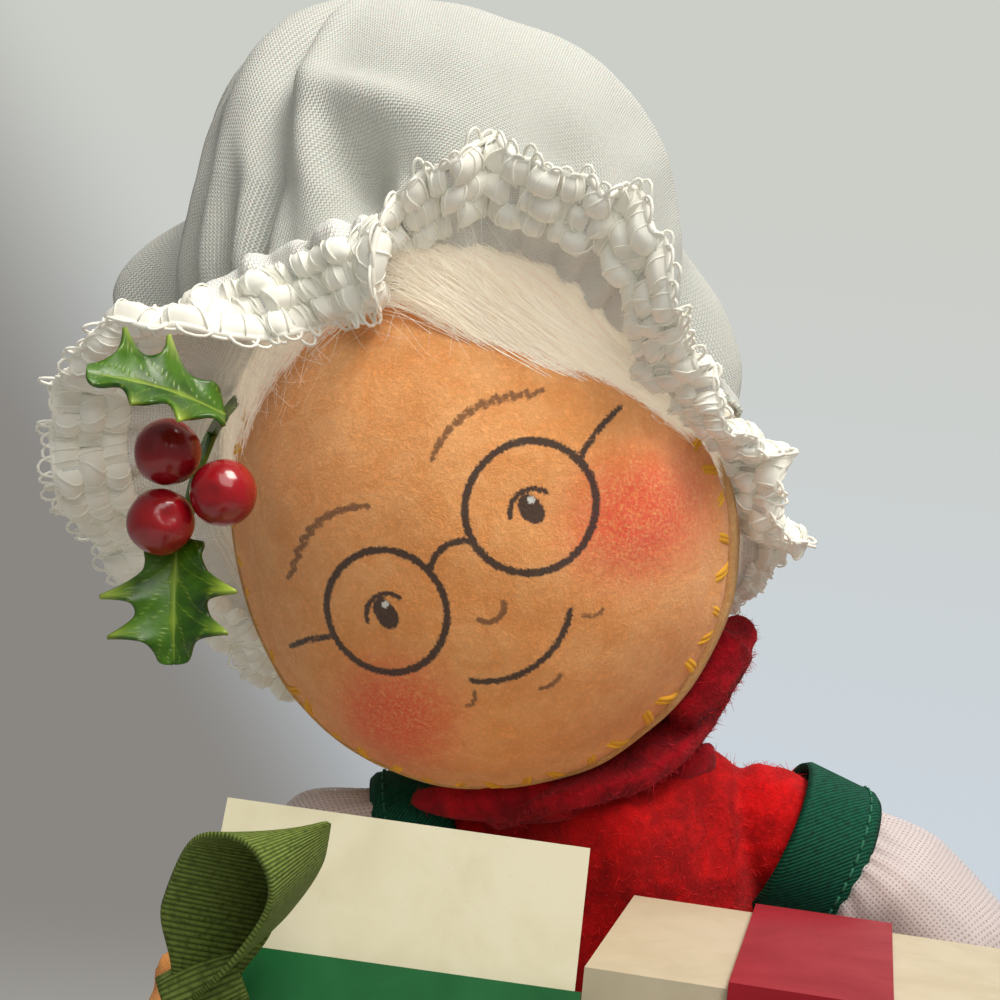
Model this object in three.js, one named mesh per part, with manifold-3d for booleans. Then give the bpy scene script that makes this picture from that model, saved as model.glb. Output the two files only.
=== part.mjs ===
// A felt holiday grandmother doll, about 197 mm tall, with a mob cap and two gift boxes in its mitts.
// Sizes are in millimetres and angles in degrees. +Z is up, the doll looks along -Y, and its own left is +X.
// Every limb is sewn felt over stuffing with a bending wire inside, and turns on a ball that seats in a cup.
import * as THREE from "three";
import { mergeVertices } from "three/addons/utils/BufferGeometryUtils.js";
import Module from "manifold-3d";

const wasm = await Module();
wasm.setup();

// Clearances, cloth and wire
const GAP = 0.3; // between two pieces that touch
const FELT = 1.2; // thickness of the felt skins
const COTTON = 0.7; // gathered cap cotton
const ORGANZA = 0.6; // sleeves and apron
const WIRE_RADIUS = 0.8; // bending wire inside neck, spine and limbs
const WIRE_FIT = 1.3; // radius of its channel in the stuffing

// Body
const WAIST = [4.5, 0, 78];
const LEAN = 9; // the upper body leans to the doll's right
const NECK_UP = 37; // from the waist to the neck pivot, along the spine
const SHOULDER_UP = 31;
const SHOULDER_OUT = 17.8;
const SHOULDER_BALL = 6;
const HIP_OUT = 8.5;
const HIP_HEIGHT = 58;
const HIP_BALL = 6.2;
const HIP_OPENING = 9.5; // the leg hole widens to this radius, so that the leg can swing

// Head
const HEAD_CENTRE = [-18.8, -10, 140];
const HEAD_TILT = 44; // the head drops towards the doll's right shoulder
const HEAD_YAW = 10; // and turns a little the same way
const HEAD_HALF_WIDTH = 25;
const HEAD_HALF_DEPTH = 19.5;
const HEAD_ABOVE = 30; // head centre to its top
const HEAD_BELOW = 24.5; // head centre to the chin
const HEAD_TAPER = 0.1; // how much the width narrows at the top
const SEAM_FORWARD = 8; // the face felt meets the back felt this far in front of the centre
const HEAD_PIVOT_DROP = 20; // head centre to the neck's upper ball, along the head's own axis
const HEAD_PIVOT_BACK = 4;
const HEAD_WIRE = 12; // length of the wire's end in the head
const NECK_LOWER_BALL = 7;
const NECK_UPPER_BALL = 6;
const NECK_RADIUS = 5.4;
const NECK_OPENING = 9.8; // the neck hole widens to this radius, so that the head can nod
const NECK_TILT = 30; // the neck rises this many degrees from where it lies

// Collar
const COLLAR_CENTRE = [-4.5, -3, 120.5];
const COLLAR_TILT = 31;
const COLLAR_INNER = 8.2;
const COLLAR_OUTER = 15.5;
const COLLAR_THICKNESS = 2.2;
const COLLAR_BACK_TRIM = 5; // the collar is narrower behind the neck
const COLLAR_BACK_DROP = 4.3; // and lies lower there, clear of the ruffle

// Hair and cap
const HAIR_THICKNESS = 0.9;
const CAP_RING_CENTRE = [-21, -10, 147.5];
const CAP_RING_LEAN = 35; // the cap's mouth leans back from the forehead to the nape
const CAP_SEAT = 2.2; // the gathered edge lies this far off the head felt, over the hair
const CROWN_CENTRE = [-29, 0, 168];
const CROWN_HALF_WIDTH = 26.5;
const CROWN_HALF_DEPTH = 23;
const CROWN_ABOVE = 28.4;
const CROWN_SQUARE = 2.5; // 2 is a round dome, and more is a squarer one
const CROWN_PUFF = 10; // the bag swells this much more low at the back
const CROWN_CREASE = 2.5; // depth of the crease between the dome and the swell behind it
const CROWN_LOWEST = 138; // the bag reaches this far round from its top, in degrees
const CROWN_GATHERS = 11;
const RUFFLE_WIDTH = 17;
const RUFFLE_SEAT = 1.6; // from the elastic out to the ruffle's first row
const RUFFLE_FORWARD = 2.2; // and from it towards the face
const RUFFLE_PLEATS = 14;
const RUFFLE_PLEAT_DEPTH = 1.7;
const LACE_WIDTH = 5;

// Holly
const BERRY_RADIUS = 3.2;
const BERRIES = [
  [-49.8, -31, 144.4],
  [-49.4, -31.6, 137.9],
  [-43.9, -32.4, 141.4],
];
const LEAF_THICKNESS = 0.5;
const LEAF_SPINES = 4;
const UPPER_LEAF = {
  root: [-44.6, -33.3, 148.4],
  tip: [-56.2, -40, 150.2],
  normal: [-0.2, -0.72, 0.66],
  half: 6.4,
};
const LOWER_LEAF = {
  root: [-48, -29.2, 136.6],
  tip: [-46.2, -32, 125],
  normal: [-0.15, -1, 0.1],
  half: 7,
};
const STEM_RADIUS = 0.6;

// Arms
const ELBOW_BALL = 4.1;
const ARM_RADIUS = 3.6;
const SLEEVE_PUFF = 9.5;
const SLEEVE_WRIST = 5.6;
const SLEEVE_GATHERS = 8;
const BAND_WIDTH = 8.4; // green band round each armhole
const BAND_RADIUS = 8.4;
const BAND_THICKNESS = 0.9;
const BAND_INSIDE = 0.6; // how far the band starts inside the shoulder's pivot
const BAND_DROOP = 18; // the bands look down and out, as the shoulders do
const BAND_ROOM = 1; // from the band's outer edge to the sleeve, so that the arm can swing
const SHOULDER_CUP = 1.8; // the dress covers the shoulder's ball this far out past its pivot

// Legs and shoes
const KNEE_HEIGHT = 34;
const KNEE_BALL = 4.6;
const LEG_RADIUS = 4.9;
const LEG_SPLAY = 6; // each foot stands this many degrees out from under its hip
const ANKLE_HEIGHT = 11;
const SOLE_THICKNESS = 2;
const SHOE_LENGTH = 31;
const SHOE_WIDTH = 14;
const SHOE_HEIGHT = 9;
const SHOE_HEEL = 9; // from the ankle's middle to the back of the heel

// Skirt, apron and waistband
const SKIRT_TOP_RADIUS = 13.7;
const SKIRT_TOP_UP = 1; // from the waist to the skirt's top edge, which meets the waistband
const SKIRT_HEM_RADIUS = 35;
const SKIRT_HEM_HEIGHT = 24;
const SKIRT_OVAL = 0.88; // depth of the skirt to its width
const SKIRT_FLUTES = 9;
const SKIRT_FLUTE_DEPTH = 2.6;
const APRON_REACH = 116; // how far the apron goes round the skirt, in degrees
const APRON_HEM_HEIGHT = 33;
const WAISTBAND_HEIGHT = 5;
const WAISTBAND_RADIUS = 13.4;

// Gift boxes: the front left top corner as seen from the front, and width, depth and height
const CARD = 0.7;
const GIFT_RIGHT = { corner: [-38.6, -40, 114.9], size: [32.4, 24, 33], pitch: 24, yaw: 0, roll: 0 };
const GIFT_LEFT = { corner: [-5.6, -44.3, 105.5], size: [42, 32, 24.5], pitch: 0, yaw: 12, roll: 2.2 };
const GREEN_BAND_DROP = 12.6; // from the top edge of the right box to its green band
const GREEN_BAND_HEIGHT = 9;
const RED_BAND_WIDTH = 13.7;
const RED_BAND_FROM_LEFT = 12.4;
const RIBBON = 0.5;
const BOW_RIBBON_WIDTH = 10;
const BOW_LOOP_LENGTH = 22;
const BOW_LOOP_HALF = 3.4;
const BOW_KNOT_RADIUS = 3;
const BOW_FROM_LEFT = 1.5;
// Where each loop points from the knot, and roughly where its ribbon's width points
const BOW_LOOPS = [
  { towards: [6.8, -15, 17], across: [6.8, 6.3, 2.8] },
  { towards: [3, -11, -17], across: [6.8, 4, -1.5] },
];

const V = (x, y, z) => new THREE.Vector3(x, y, z);
const at = (list) => V(...list);
const deg = THREE.MathUtils.degToRad;
const { lerp, smoothstep, clamp } = THREE.MathUtils;
const TURN = 2 * Math.PI;

// Colours, roughness and metalness of the materials
const FACE = [0xe19b5f, 0.95, 0];
const HEAD_BACK = [0xd8a878, 0.95, 0];
const SKIN = [0xe0a06c, 0.95, 0];
const STUFFING = [0xf1efe8, 1, 0];
const WIRE = [0x8d8f92, 0.4, 1];
const RED_FELT = [0xc8161d, 0.95, 0];
const CRIMSON_FELT = [0xb5122a, 0.95, 0];
const WHITE_COTTON = [0xf4f4f3, 0.9, 0];
const LACE = [0xece6d8, 0.9, 0];
const WHITE_ORGANZA = [0xf3ece6, 0.7, 0];
const GREEN_TWILL = [0x0f4a33, 0.85, 0];
const MOHAIR = [0xefe4d0, 0.9, 0];
const STOCKING = [0xf2eee6, 0.95, 0];
const BLACK_FELT = [0x17130f, 0.85, 0];
const SOLE = [0x2a2220, 0.8, 0];
const BERRY = [0xa3121c, 0.25, 0];
const LEAF = [0x2c6a2b, 0.42, 0];
const CARTON = [0xe9e0cb, 0.7, 0];
const CARTON_INSIDE = [0xcbb894, 0.8, 0];
const GREEN_BAND = [0x0b6b3a, 0.3, 0];
const RED_BAND = [0xb3202f, 0.35, 0];
const OLIVE_RIBBON = [0x5f7036, 0.7, 0];

const meshes = [];

// Adds one named piece, made of the body's largest solid.
function piece(name, body, [color, roughness, metalness]) {
  const main = body.decompose().reduce((a, b) => (b.volume() > a.volume() ? b : a));
  const mesh = new THREE.Mesh(
    geometryOf(main),
    new THREE.MeshStandardMaterial({ color, roughness, metalness }),
  );
  mesh.name = name;
  meshes.push(mesh);
}

// The manifold-3d solid of a closed three.js geometry.
function solid(geometry) {
  const bare = geometry.clone();
  Object.keys(bare.attributes)
    .filter((name) => name !== "position")
    .forEach((name) => bare.deleteAttribute(name));
  const merged = mergeVertices(bare, 1e-4);
  return new wasm.Manifold(
    new wasm.Mesh({
      numProp: 3,
      vertProperties: new Float32Array(merged.attributes.position.array),
      triVerts: new Uint32Array(merged.index.array),
    }),
  );
}

// The three.js geometry of a manifold-3d solid.
function geometryOf(body) {
  const mesh = body.getMesh();
  const positions = new Float32Array(mesh.numVert * 3);
  for (let i = 0; i < mesh.numVert; i += 1) {
    positions.set(mesh.vertProperties.subarray(i * mesh.numProp, i * mesh.numProp + 3), i * 3);
  }
  const geometry = new THREE.BufferGeometry();
  geometry.setAttribute("position", new THREE.BufferAttribute(positions, 3));
  geometry.setIndex(new THREE.BufferAttribute(new Uint32Array(mesh.triVerts), 1));
  return geometry;
}

const joined = (...bodies) => bodies.reduce((a, b) => a.add(b));
const cut = (body, ...tools) => tools.reduce((a, b) => a.subtract(b), body);

// A solid from points and triangles, turned to face outwards if it came inside out.
function faceted(points, index) {
  const geometry = new THREE.BufferGeometry();
  const positions = points.flatMap((p) => [p.x, p.y, p.z]);
  geometry.setAttribute("position", new THREE.Float32BufferAttribute(positions, 3));
  geometry.setIndex(index);
  const body = solid(geometry);
  if (body.volume() > 0) return body;
  const turned = [];
  for (let i = 0; i < index.length; i += 3) turned.push(index[i + 1], index[i], index[i + 2]);
  geometry.setIndex(turned);
  return solid(geometry);
}

// Triangles between rows of points that each run right round.
function wrap(rows, count, index, closedRows) {
  for (let r = 0; r < (closedRows ? rows : rows - 1); r += 1) {
    const next = ((r + 1) % rows) * count;
    for (let i = 0; i < count; i += 1) {
      const a = r * count + i;
      const b = r * count + ((i + 1) % count);
      index.push(a, b, next + i, b, next + ((i + 1) % count), next + i);
    }
  }
}

// A closed body from rings of points, each with as many points, capped at both ends.
function loft(rings) {
  const count = rings[0].length;
  const points = rings.flat();
  const index = [];
  wrap(rings.length, count, index, false);
  [rings[0], rings.at(-1)].forEach((ring, end) => {
    const tip = points.length;
    const first = end * (rings.length - 1) * count;
    points.push(ring.reduce((sum, p) => sum.add(p), V(0, 0, 0)).divideScalar(count));
    for (let i = 0; i < count; i += 1) {
      const pair = [first + i, first + ((i + 1) % count)];
      index.push(tip, ...(end ? pair : pair.reverse()));
    }
  });
  return faceted(points, index);
}

// A sheet of even thickness over surface(u, v), u and v from 0 to 1. A closed sheet meets itself along u.
function cloth(surface, alongU, alongV, thickness, closed) {
  const columns = closed ? alongU : alongU + 1;
  const step = 1e-3;
  const points = [];
  const index = [];
  for (const side of [0.5, -0.5]) {
    for (let j = 0; j <= alongV; j += 1) {
      for (let i = 0; i < columns; i += 1) {
        const u = i / alongU;
        const v = j / alongV;
        const du = surface(u + step, v).sub(surface(u - step, v));
        const dv = surface(u, Math.min(v + step, 1)).sub(surface(u, Math.max(v - step, 0)));
        points.push(surface(u, v).addScaledVector(du.cross(dv).normalize(), side * thickness));
      }
    }
  }
  const point = (side, i, j) => (side * (alongV + 1) + j) * columns + (i % columns);
  const quad = (a, b, c, d) => index.push(a, b, c, a, c, d);
  for (let i = 0; i < alongU; i += 1) {
    for (let j = 0; j < alongV; j += 1) {
      quad(point(0, i, j), point(0, i + 1, j), point(0, i + 1, j + 1), point(0, i, j + 1));
      quad(point(1, i, j + 1), point(1, i + 1, j + 1), point(1, i + 1, j), point(1, i, j));
    }
    quad(point(1, i, 0), point(1, i + 1, 0), point(0, i + 1, 0), point(0, i, 0));
    quad(point(0, i, alongV), point(0, i + 1, alongV), point(1, i + 1, alongV), point(1, i, alongV));
  }
  for (let j = 0; j < alongV && !closed; j += 1) {
    quad(point(1, 0, j + 1), point(1, 0, j), point(0, 0, j), point(0, 0, j + 1));
    quad(point(0, alongU, j + 1), point(0, alongU, j), point(1, alongU, j), point(1, alongU, j + 1));
  }
  return faceted(points, index);
}

// An oval ring of points about a centre.
function around(centre, across, other, halfWidth, halfDepth, sides) {
  return Array.from({ length: sides }, (_, i) =>
    centre
      .clone()
      .addScaledVector(across, halfWidth * Math.cos((TURN * i) / sides))
      .addScaledVector(other, halfDepth * Math.sin((TURN * i) / sides)),
  );
}

// Two directions square to a path and to each other.
function squareTo(along) {
  const sideways = V(0, 1, 0).cross(along);
  const across = sideways.lengthSq() > 0.05 ? sideways.normalize() : V(1, 0, 0);
  return [across, along.clone().cross(across).normalize()];
}

// A limb of round section along a smooth path through some points; the radii are spread evenly along it.
function limb(points, radii, steps, sides = 9) {
  const path = new THREE.CatmullRomCurve3(points.map((p) => (Array.isArray(p) ? at(p) : p)));
  const rings = Array.from({ length: steps + 1 }, (_, s) => {
    const spot = (s / steps) * (radii.length - 1);
    const low = Math.min(Math.floor(spot), radii.length - 2);
    const radius = lerp(radii[low], radii[low + 1], spot - low);
    const [across, other] = squareTo(path.getTangentAt(s / steps));
    return around(path.getPointAt(s / steps), across, other, radius, radius, sides);
  });
  return loft(rings);
}

function ball(centre, radius, sides = 12) {
  const sphere = new THREE.SphereGeometry(radius, sides, Math.round(sides * 0.6));
  return solid(sphere.translate(centre.x, centre.y, centre.z));
}

// A straight cone from one point towards another.
function flare(from, to, startRadius, endRadius, length) {
  const end = from.clone().addScaledVector(to.clone().sub(from).normalize(), length);
  return limb([from, end], [startRadius, endRadius], 1, 12);
}

// A body turned about a line along Y through a point.
function swung(body, centre, angle) {
  const move = new THREE.Matrix4()
    .makeTranslation(centre.x, centre.y, centre.z)
    .multiply(new THREE.Matrix4().makeRotationY(deg(angle)))
    .multiply(new THREE.Matrix4().makeTranslation(-centre.x, -centre.y, -centre.z));
  return body.transform(move.elements);
}

const wireAlong = (points) => limb(points, [WIRE_RADIUS, WIRE_RADIUS], points.length > 2 ? 4 : 1, 6);
const channel = (points) => limb(points, [WIRE_FIT, WIRE_FIT], points.length > 2 ? 8 : 1, 6);

// Smooth values between a few stated ones: pairs of place and value, in order.
function through(pairs, place) {
  const next = pairs.findIndex(([spot]) => place <= spot);
  if (next === 0) return pairs[0][1];
  if (next < 0) return pairs.at(-1)[1];
  const [from, before] = pairs[next - 1];
  const [to, after] = pairs[next];
  return before + (after - before) * smoothstep(place, from, to);
}

// Body frame: the spine leans, and the shoulders lean with it
const spine = V(-Math.sin(deg(LEAN)), 0, Math.cos(deg(LEAN)));
const shoulderLine = V(Math.cos(deg(LEAN)), 0, Math.sin(deg(LEAN)));
const neckPivot = at(WAIST).addScaledVector(spine, NECK_UP);
const shoulderPivot = (side) =>
  at(WAIST).addScaledVector(spine, SHOULDER_UP).addScaledVector(shoulderLine, side * SHOULDER_OUT);
const hipPivot = (side) => V(WAIST[0] + side * HIP_OUT, 0, HIP_HEIGHT);
const bandWay = (side) => V(side * Math.cos(deg(BAND_DROOP)), 0, -Math.sin(deg(BAND_DROOP)));

// The middle of a leg at a height.
function legPoint(side, z) {
  const out = Math.tan(deg(LEG_SPLAY)) * (HIP_HEIGHT - z);
  return hipPivot(side).add(V(side * out, 0, z - HIP_HEIGHT));
}

// Head frame
const headFrame = new THREE.Matrix4()
  .makeRotationY(-deg(HEAD_TILT))
  .multiply(new THREE.Matrix4().makeRotationZ(-deg(HEAD_YAW)))
  .setPosition(at(HEAD_CENTRE));
const headInverse = headFrame.clone().invert();
const headPivot = V(0, HEAD_PIVOT_BACK, -HEAD_PIVOT_DROP).applyMatrix4(headFrame);

// 1 on the head's surface and less inside; p is in the head frame, and grow moves the surface out.
function headLevel(p, grow) {
  const height = (p.z > 0 ? HEAD_ABOVE : HEAD_BELOW) + grow;
  const narrow = 1 - HEAD_TAPER * Math.max(0, p.z / height);
  return Math.hypot(p.x / ((HEAD_HALF_WIDTH + grow) * narrow), p.y / (HEAD_HALF_DEPTH + grow), p.z / height);
}

// How far the head's surface is from a point inside it, along a direction, both in the part's frame.
function toHeadSurface(from, direction, grow) {
  let low = 0;
  let high = 2 * (HEAD_ABOVE + HEAD_BELOW);
  while (high - low > 1e-7) {
    const middle = (low + high) / 2;
    const p = from.clone().addScaledVector(direction, middle).applyMatrix4(headInverse);
    if (headLevel(p, grow) < 1) low = middle;
    else high = middle;
  }
  return low;
}

// A point moved out to the head's grown surface if it lies inside it, and else as it is.
function outsideHead(p, grow) {
  if (headLevel(p.clone().applyMatrix4(headInverse), grow) >= 1) return p;
  const centre = at(HEAD_CENTRE);
  const way = p.clone().sub(centre).normalize();
  return centre.addScaledVector(way, toHeadSurface(centre, way, grow));
}

// The head's form as a solid, its surface moved out by grow.
function headBody(grow, sides, levels) {
  const sphere = new THREE.SphereGeometry(1, sides, levels).rotateX(Math.PI / 2);
  const spots = sphere.attributes.position;
  const centre = at(HEAD_CENTRE);
  for (let i = 0; i < spots.count; i += 1) {
    const way = V(spots.getX(i), spots.getY(i), spots.getZ(i)).transformDirection(headFrame);
    const p = centre.clone().addScaledVector(way, toHeadSurface(centre, way, grow));
    spots.setXYZ(i, p.x, p.y, p.z);
  }
  return solid(sphere);
}

// Everything in front of the head's seam, or everything behind it, up to the seam's gap.
function headHalf(front) {
  const reach = 60;
  const seam = -SEAM_FORWARD + (front ? -GAP / 2 : GAP / 2);
  const box = new THREE.BoxGeometry(2 * reach, reach, 2 * reach);
  box.translate(0, seam + (front ? -reach / 2 : reach / 2), 0).applyMatrix4(headFrame);
  return solid(box);
}

// The wire's end in the head, from just past the neck's upper ball: the head turns about it.
function headWirePath(from) {
  const way = V(0, 0, 1).transformDirection(headFrame);
  return [from, HEAD_WIRE].map((far) => headPivot.clone().addScaledVector(way, NECK_UPPER_BALL + far));
}

function makeHead() {
  const socket = joined(
    ball(headPivot, NECK_UPPER_BALL + GAP),
    flare(headPivot, neckPivot, NECK_RADIUS + GAP, NECK_OPENING, 14),
  );
  const shell = cut(headBody(0, 24, 14), headBody(-FELT, 14, 9), socket);
  piece("head_face_felt", shell.intersect(headHalf(true)), FACE);
  piece("head_back_felt", shell.intersect(headHalf(false)), HEAD_BACK);
  const stuffing = headBody(-FELT - 3 * GAP, 14, 9);
  piece("head_stuffing", cut(stuffing, socket, channel(headWirePath(-2))), STUFFING);
  piece("head_wire", wireAlong(headWirePath(2 * GAP)), WIRE);
}

// Neck: a ball in the body's cup and a ball in the head's cup, with a short felt stem and a wire through it
function makeNeck() {
  const way = headPivot.clone().sub(neckPivot).normalize();
  const ends = (low, high) => [
    neckPivot.clone().addScaledVector(way, -low),
    headPivot.clone().addScaledVector(way, high),
  ];
  const stem = limb(ends(0, 0), [NECK_RADIUS, NECK_RADIUS], 1, 12);
  const felt = joined(ball(neckPivot, NECK_LOWER_BALL), ball(headPivot, NECK_UPPER_BALL), stem);
  piece("neck_felt", cut(felt, channel(ends(NECK_LOWER_BALL + 1, NECK_UPPER_BALL + 1))), SKIN);
  piece("neck_wire", wireAlong(ends(NECK_LOWER_BALL - 0.7, NECK_UPPER_BALL - 0.7)), WIRE);
}

// Collar: a thick felt strip round the neck, tilted with it, whose left end curls up in a roll
function makeCollar() {
  const tilt = deg(COLLAR_TILT);
  const side = V(Math.cos(tilt), 0, Math.sin(tilt));
  const front = V(0, -0.97, -0.24);
  const up = front.clone().cross(side).normalize();
  const strip = (u, v) => {
    const angle = TURN * u;
    const behind = Math.max(0, -Math.sin(angle));
    const reach = lerp(COLLAR_INNER, COLLAR_OUTER - COLLAR_BACK_TRIM * behind, v);
    const wave = 0.8 * Math.sin(4 * angle) * v;
    return at(COLLAR_CENTRE)
      .addScaledVector(side, reach * Math.cos(angle))
      .addScaledVector(front, 0.9 * reach * Math.sin(angle))
      .addScaledVector(up, wave - 1.5 * v - COLLAR_BACK_DROP * behind);
  };
  const rollPath = [[3, -12, 124.5], [6.4, -9.5, 129.5], [8.2, -8, 132.6], [8.4, -5, 130.2]];
  const roll = limb(rollPath, [2.2, 3.2, 3.1, 1.8], 6, 8);
  const shoulder = shoulderPivot(-1);
  const inside = shoulder.clone().addScaledVector(bandWay(-1), -6);
  const shoulderRoom = flare(inside, shoulder, BAND_RADIUS + 1, BAND_RADIUS + 1, 16);
  const felt = joined(cloth(strip, 20, 2, COLLAR_THICKNESS, true), roll);
  const stemRadius = NECK_RADIUS + GAP;
  const stemRoom = limb([neckPivot, headPivot], [stemRadius, stemRadius], 1, 12);
  const neckRoom = joined(ball(neckPivot, NECK_LOWER_BALL + GAP), stemRoom);
  // The dress as the collar meets it while the neck rises
  const dressRooms = [0, 0.5, 1].map((share) => swung(torsoBody(GAP), neckPivot, -share * NECK_TILT));
  piece("collar", cut(felt, headBody(1.4, 16, 10), neckRoom, ...dressRooms, shoulderRoom), CRIMSON_FELT);
}

// Torso: distance up from the waist, half width and half depth
const TORSO = [
  [-24, 5, 4.5],
  [-22, 11, 9],
  [-17, 14.5, 11.5],
  [-9, 13.5, 10.8],
  [0, 11.8, 9.6],
  [10, 13.8, 10.6],
  [20, 16, 11.2],
  [28, 17.6, 10.9],
  [34, 16.2, 9.6],
  [37, 12.6, 8.6],
  [39.5, 8.4, 7.4],
];

const TORSO_SIDES = 16;

function torsoBody(grow, sides = TORSO_SIDES) {
  const last = TORSO.length - 1;
  const rings = TORSO.map(([up, halfWidth, halfDepth], i) => {
    const end = i === 0 ? -grow : i === last ? grow : 0;
    const centre = at(WAIST).addScaledVector(up > 0 ? spine : V(0, 0, 1), up + end);
    const across = up > 0 ? shoulderLine : V(1, 0, 0);
    return around(centre, across, V(0, 1, 0), halfWidth + grow, halfDepth + grow, sides);
  });
  return loft(rings);
}

function makeTorso() {
  const cupRadius = SHOULDER_BALL + GAP + FELT;
  const cups = [];
  const sockets = [ball(neckPivot, NECK_LOWER_BALL + GAP)];
  for (const share of [0, 0.5, 1]) {
    const way = headPivot.clone().sub(neckPivot).applyAxisAngle(V(0, 1, 0), deg(share * NECK_TILT));
    const stem = NECK_RADIUS + 2 * GAP;
    sockets.push(limb([neckPivot, way.add(neckPivot)], [stem, stem + GAP], 1, 9));
  }
  for (const side of [-1, 1]) {
    const hip = hipPivot(side);
    const root = shoulderPivot(side);
    const rim = root.clone().addScaledVector(bandWay(side), SHOULDER_CUP);
    const past = rim.clone().add(bandWay(side));
    cups.push(cut(ball(root, cupRadius, 12), flare(rim, past, 2 * cupRadius, 2 * cupRadius, cupRadius)));
    sockets.push(ball(root, SHOULDER_BALL + GAP), ball(hip, HIP_BALL + GAP));
    sockets.push(flare(hip, legPoint(side, 0), HIP_BALL - 0.2, HIP_OPENING, 10));
  }
  const skin = joined(torsoBody(0), ...cups);
  piece("torso_felt", cut(skin, torsoBody(-FELT, 10), ...sockets), RED_FELT);
  const spinePath = (low, short) => [
    V(WAIST[0], 0, low),
    at(WAIST),
    neckPivot.clone().addScaledVector(spine, short - NECK_LOWER_BALL),
  ];
  const stuffing = cut(torsoBody(-FELT - 3 * GAP, 10), ...sockets, channel(spinePath(HIP_HEIGHT + 2, 1)));
  piece("torso_stuffing", stuffing, STUFFING);
  piece("spine_wire", wireAlong(spinePath(HIP_HEIGHT + 2.5, -2 * GAP)), WIRE);
}

// Arms: side is 1 for the doll's left arm and -1 for its right
const elbow = (side) => (side > 0 ? V(43, -7, 91) : V(-42.5, -8, 88.5));
const wrist = (side) => (side > 0 ? V(46.4, -22, 90.5) : V(-42.6, -20, 89));
const palm = (side) => (side > 0 ? V(42.3, -36, 92) : V(-42.2, -33, 92));

function armPath(side) {
  const root = shoulderPivot(side);
  const from = (x, y, z) => root.clone().add(V(side * x, y, z));
  return [root, from(7, -1, -1.2), from(16, -3, -8.5), elbow(side)];
}

// Four points of a smooth path, from one share of its length to another.
function stretch(points, from, to) {
  const path = new THREE.CatmullRomCurve3(points);
  return [0, 1 / 3, 2 / 3, 1].map((share) => path.getPointAt(lerp(from, to, share)));
}

function makeArm(side, name) {
  const upperPath = armPath(side);
  const radii = [ARM_RADIUS + 0.4, ARM_RADIUS, ARM_RADIUS, ARM_RADIUS + 0.6];
  const upper = joined(ball(upperPath[0], SHOULDER_BALL), limb(upperPath, radii, 6, 8));
  const elbowRoom = joined(
    ball(elbow(side), ELBOW_BALL + GAP, 10),
    flare(elbow(side), wrist(side), ARM_RADIUS + GAP, ARM_RADIUS + 2.2, 9),
  );
  piece(`upper_arm_${name}`, cut(upper, elbowRoom, channel(stretch(upperPath, 0.04, 1))), SKIN);
  piece(`arm_wire_upper_${name}`, wireAlong(stretch(upperPath, 0.06, 0.84)), WIRE);

  const lowerPath = [elbow(side), wrist(side), palm(side)];
  const forearm = limb(lowerPath, [ARM_RADIUS, ARM_RADIUS - 0.2, 2.9, 2], 5, 8);
  const felt = joined(ball(elbow(side), ELBOW_BALL, 10), forearm, mitt(side));
  const open = channel([elbow(side).setY(0), elbow(side)]);
  piece(`forearm_${name}`, cut(felt, open, channel(stretch(lowerPath, 0, 0.7))), SKIN);
  piece(`arm_wire_lower_${name}`, wireAlong(stretch(lowerPath, 0.05, 0.66)), WIRE);
}

// A flat mitten with a thumb on top, lying against the side of its gift box
function mitt(side) {
  const { x, y, z } = palm(side);
  const yaw = side > 0 ? -GIFT_LEFT.yaw : GIFT_RIGHT.yaw;
  const hand = new THREE.SphereGeometry(1, 9, 6).scale(2.3, 7.5, 4.4).rotateZ(deg(yaw)).translate(x, y, z);
  const thumb = limb([V(x, y + 2, z + 2), V(x, y - 1, z + 6.4)], [1.7, 1.9, 1.5], 2, 6);
  return joined(solid(hand), thumb);
}

// The organza puff over the upper arm, gathered under the band and above the elbow
function makeSleeve(side, name) {
  const path = new THREE.CatmullRomCurve3(armPath(side));
  const profile = [[0, BAND_RADIUS - 1.2], [0.35, SLEEVE_PUFF], [0.7, SLEEVE_PUFF - 0.6], [1, SLEEVE_WRIST]];
  const surface = (u, v) => {
    const share = lerp(0.27, 0.9, v);
    const [across, other] = squareTo(path.getTangentAt(share));
    const gather = 0.45 * Math.sin(TURN * SLEEVE_GATHERS * u) * (1 - 0.6 * Math.sin(Math.PI * v));
    const radius = through(profile, v) + gather;
    return path
      .getPointAt(share)
      .addScaledVector(across, radius * Math.cos(TURN * u))
      .addScaledVector(other, radius * Math.sin(TURN * u));
  };
  const root = shoulderPivot(side);
  const roomRadius = BAND_RADIUS + BAND_THICKNESS + 0.8;
  const start = root.clone().addScaledVector(bandWay(side), -BAND_RADIUS);
  const roomLength = BAND_RADIUS + BAND_WIDTH - BAND_INSIDE + BAND_ROOM;
  const bandRoom = flare(start, root, roomRadius, roomRadius, roomLength);
  const puff = cloth(surface, 3 * SLEEVE_GATHERS, 3, ORGANZA, true);
  piece(`sleeve_${name}`, cut(puff, bandRoom), WHITE_ORGANZA);
}

// The green band round the armhole
function makeArmBand(side, name) {
  const root = shoulderPivot(side);
  const upWay = V(0, 1, 0).cross(bandWay(side));
  const surface = (u, v) => {
    const radius = BAND_RADIUS + 0.5 * Math.sin(Math.PI * v);
    return root
      .clone()
      .addScaledVector(bandWay(side), BAND_WIDTH * v - BAND_INSIDE)
      .addScaledVector(upWay, radius * Math.cos(TURN * u))
      .add(V(0, radius * Math.sin(TURN * u), 0));
  };
  const band = cloth(surface, 24, 2, BAND_THICKNESS, true);
  piece(`armhole_band_${name}`, cut(band, torsoBody(GAP)), GREEN_TWILL);
}

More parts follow.
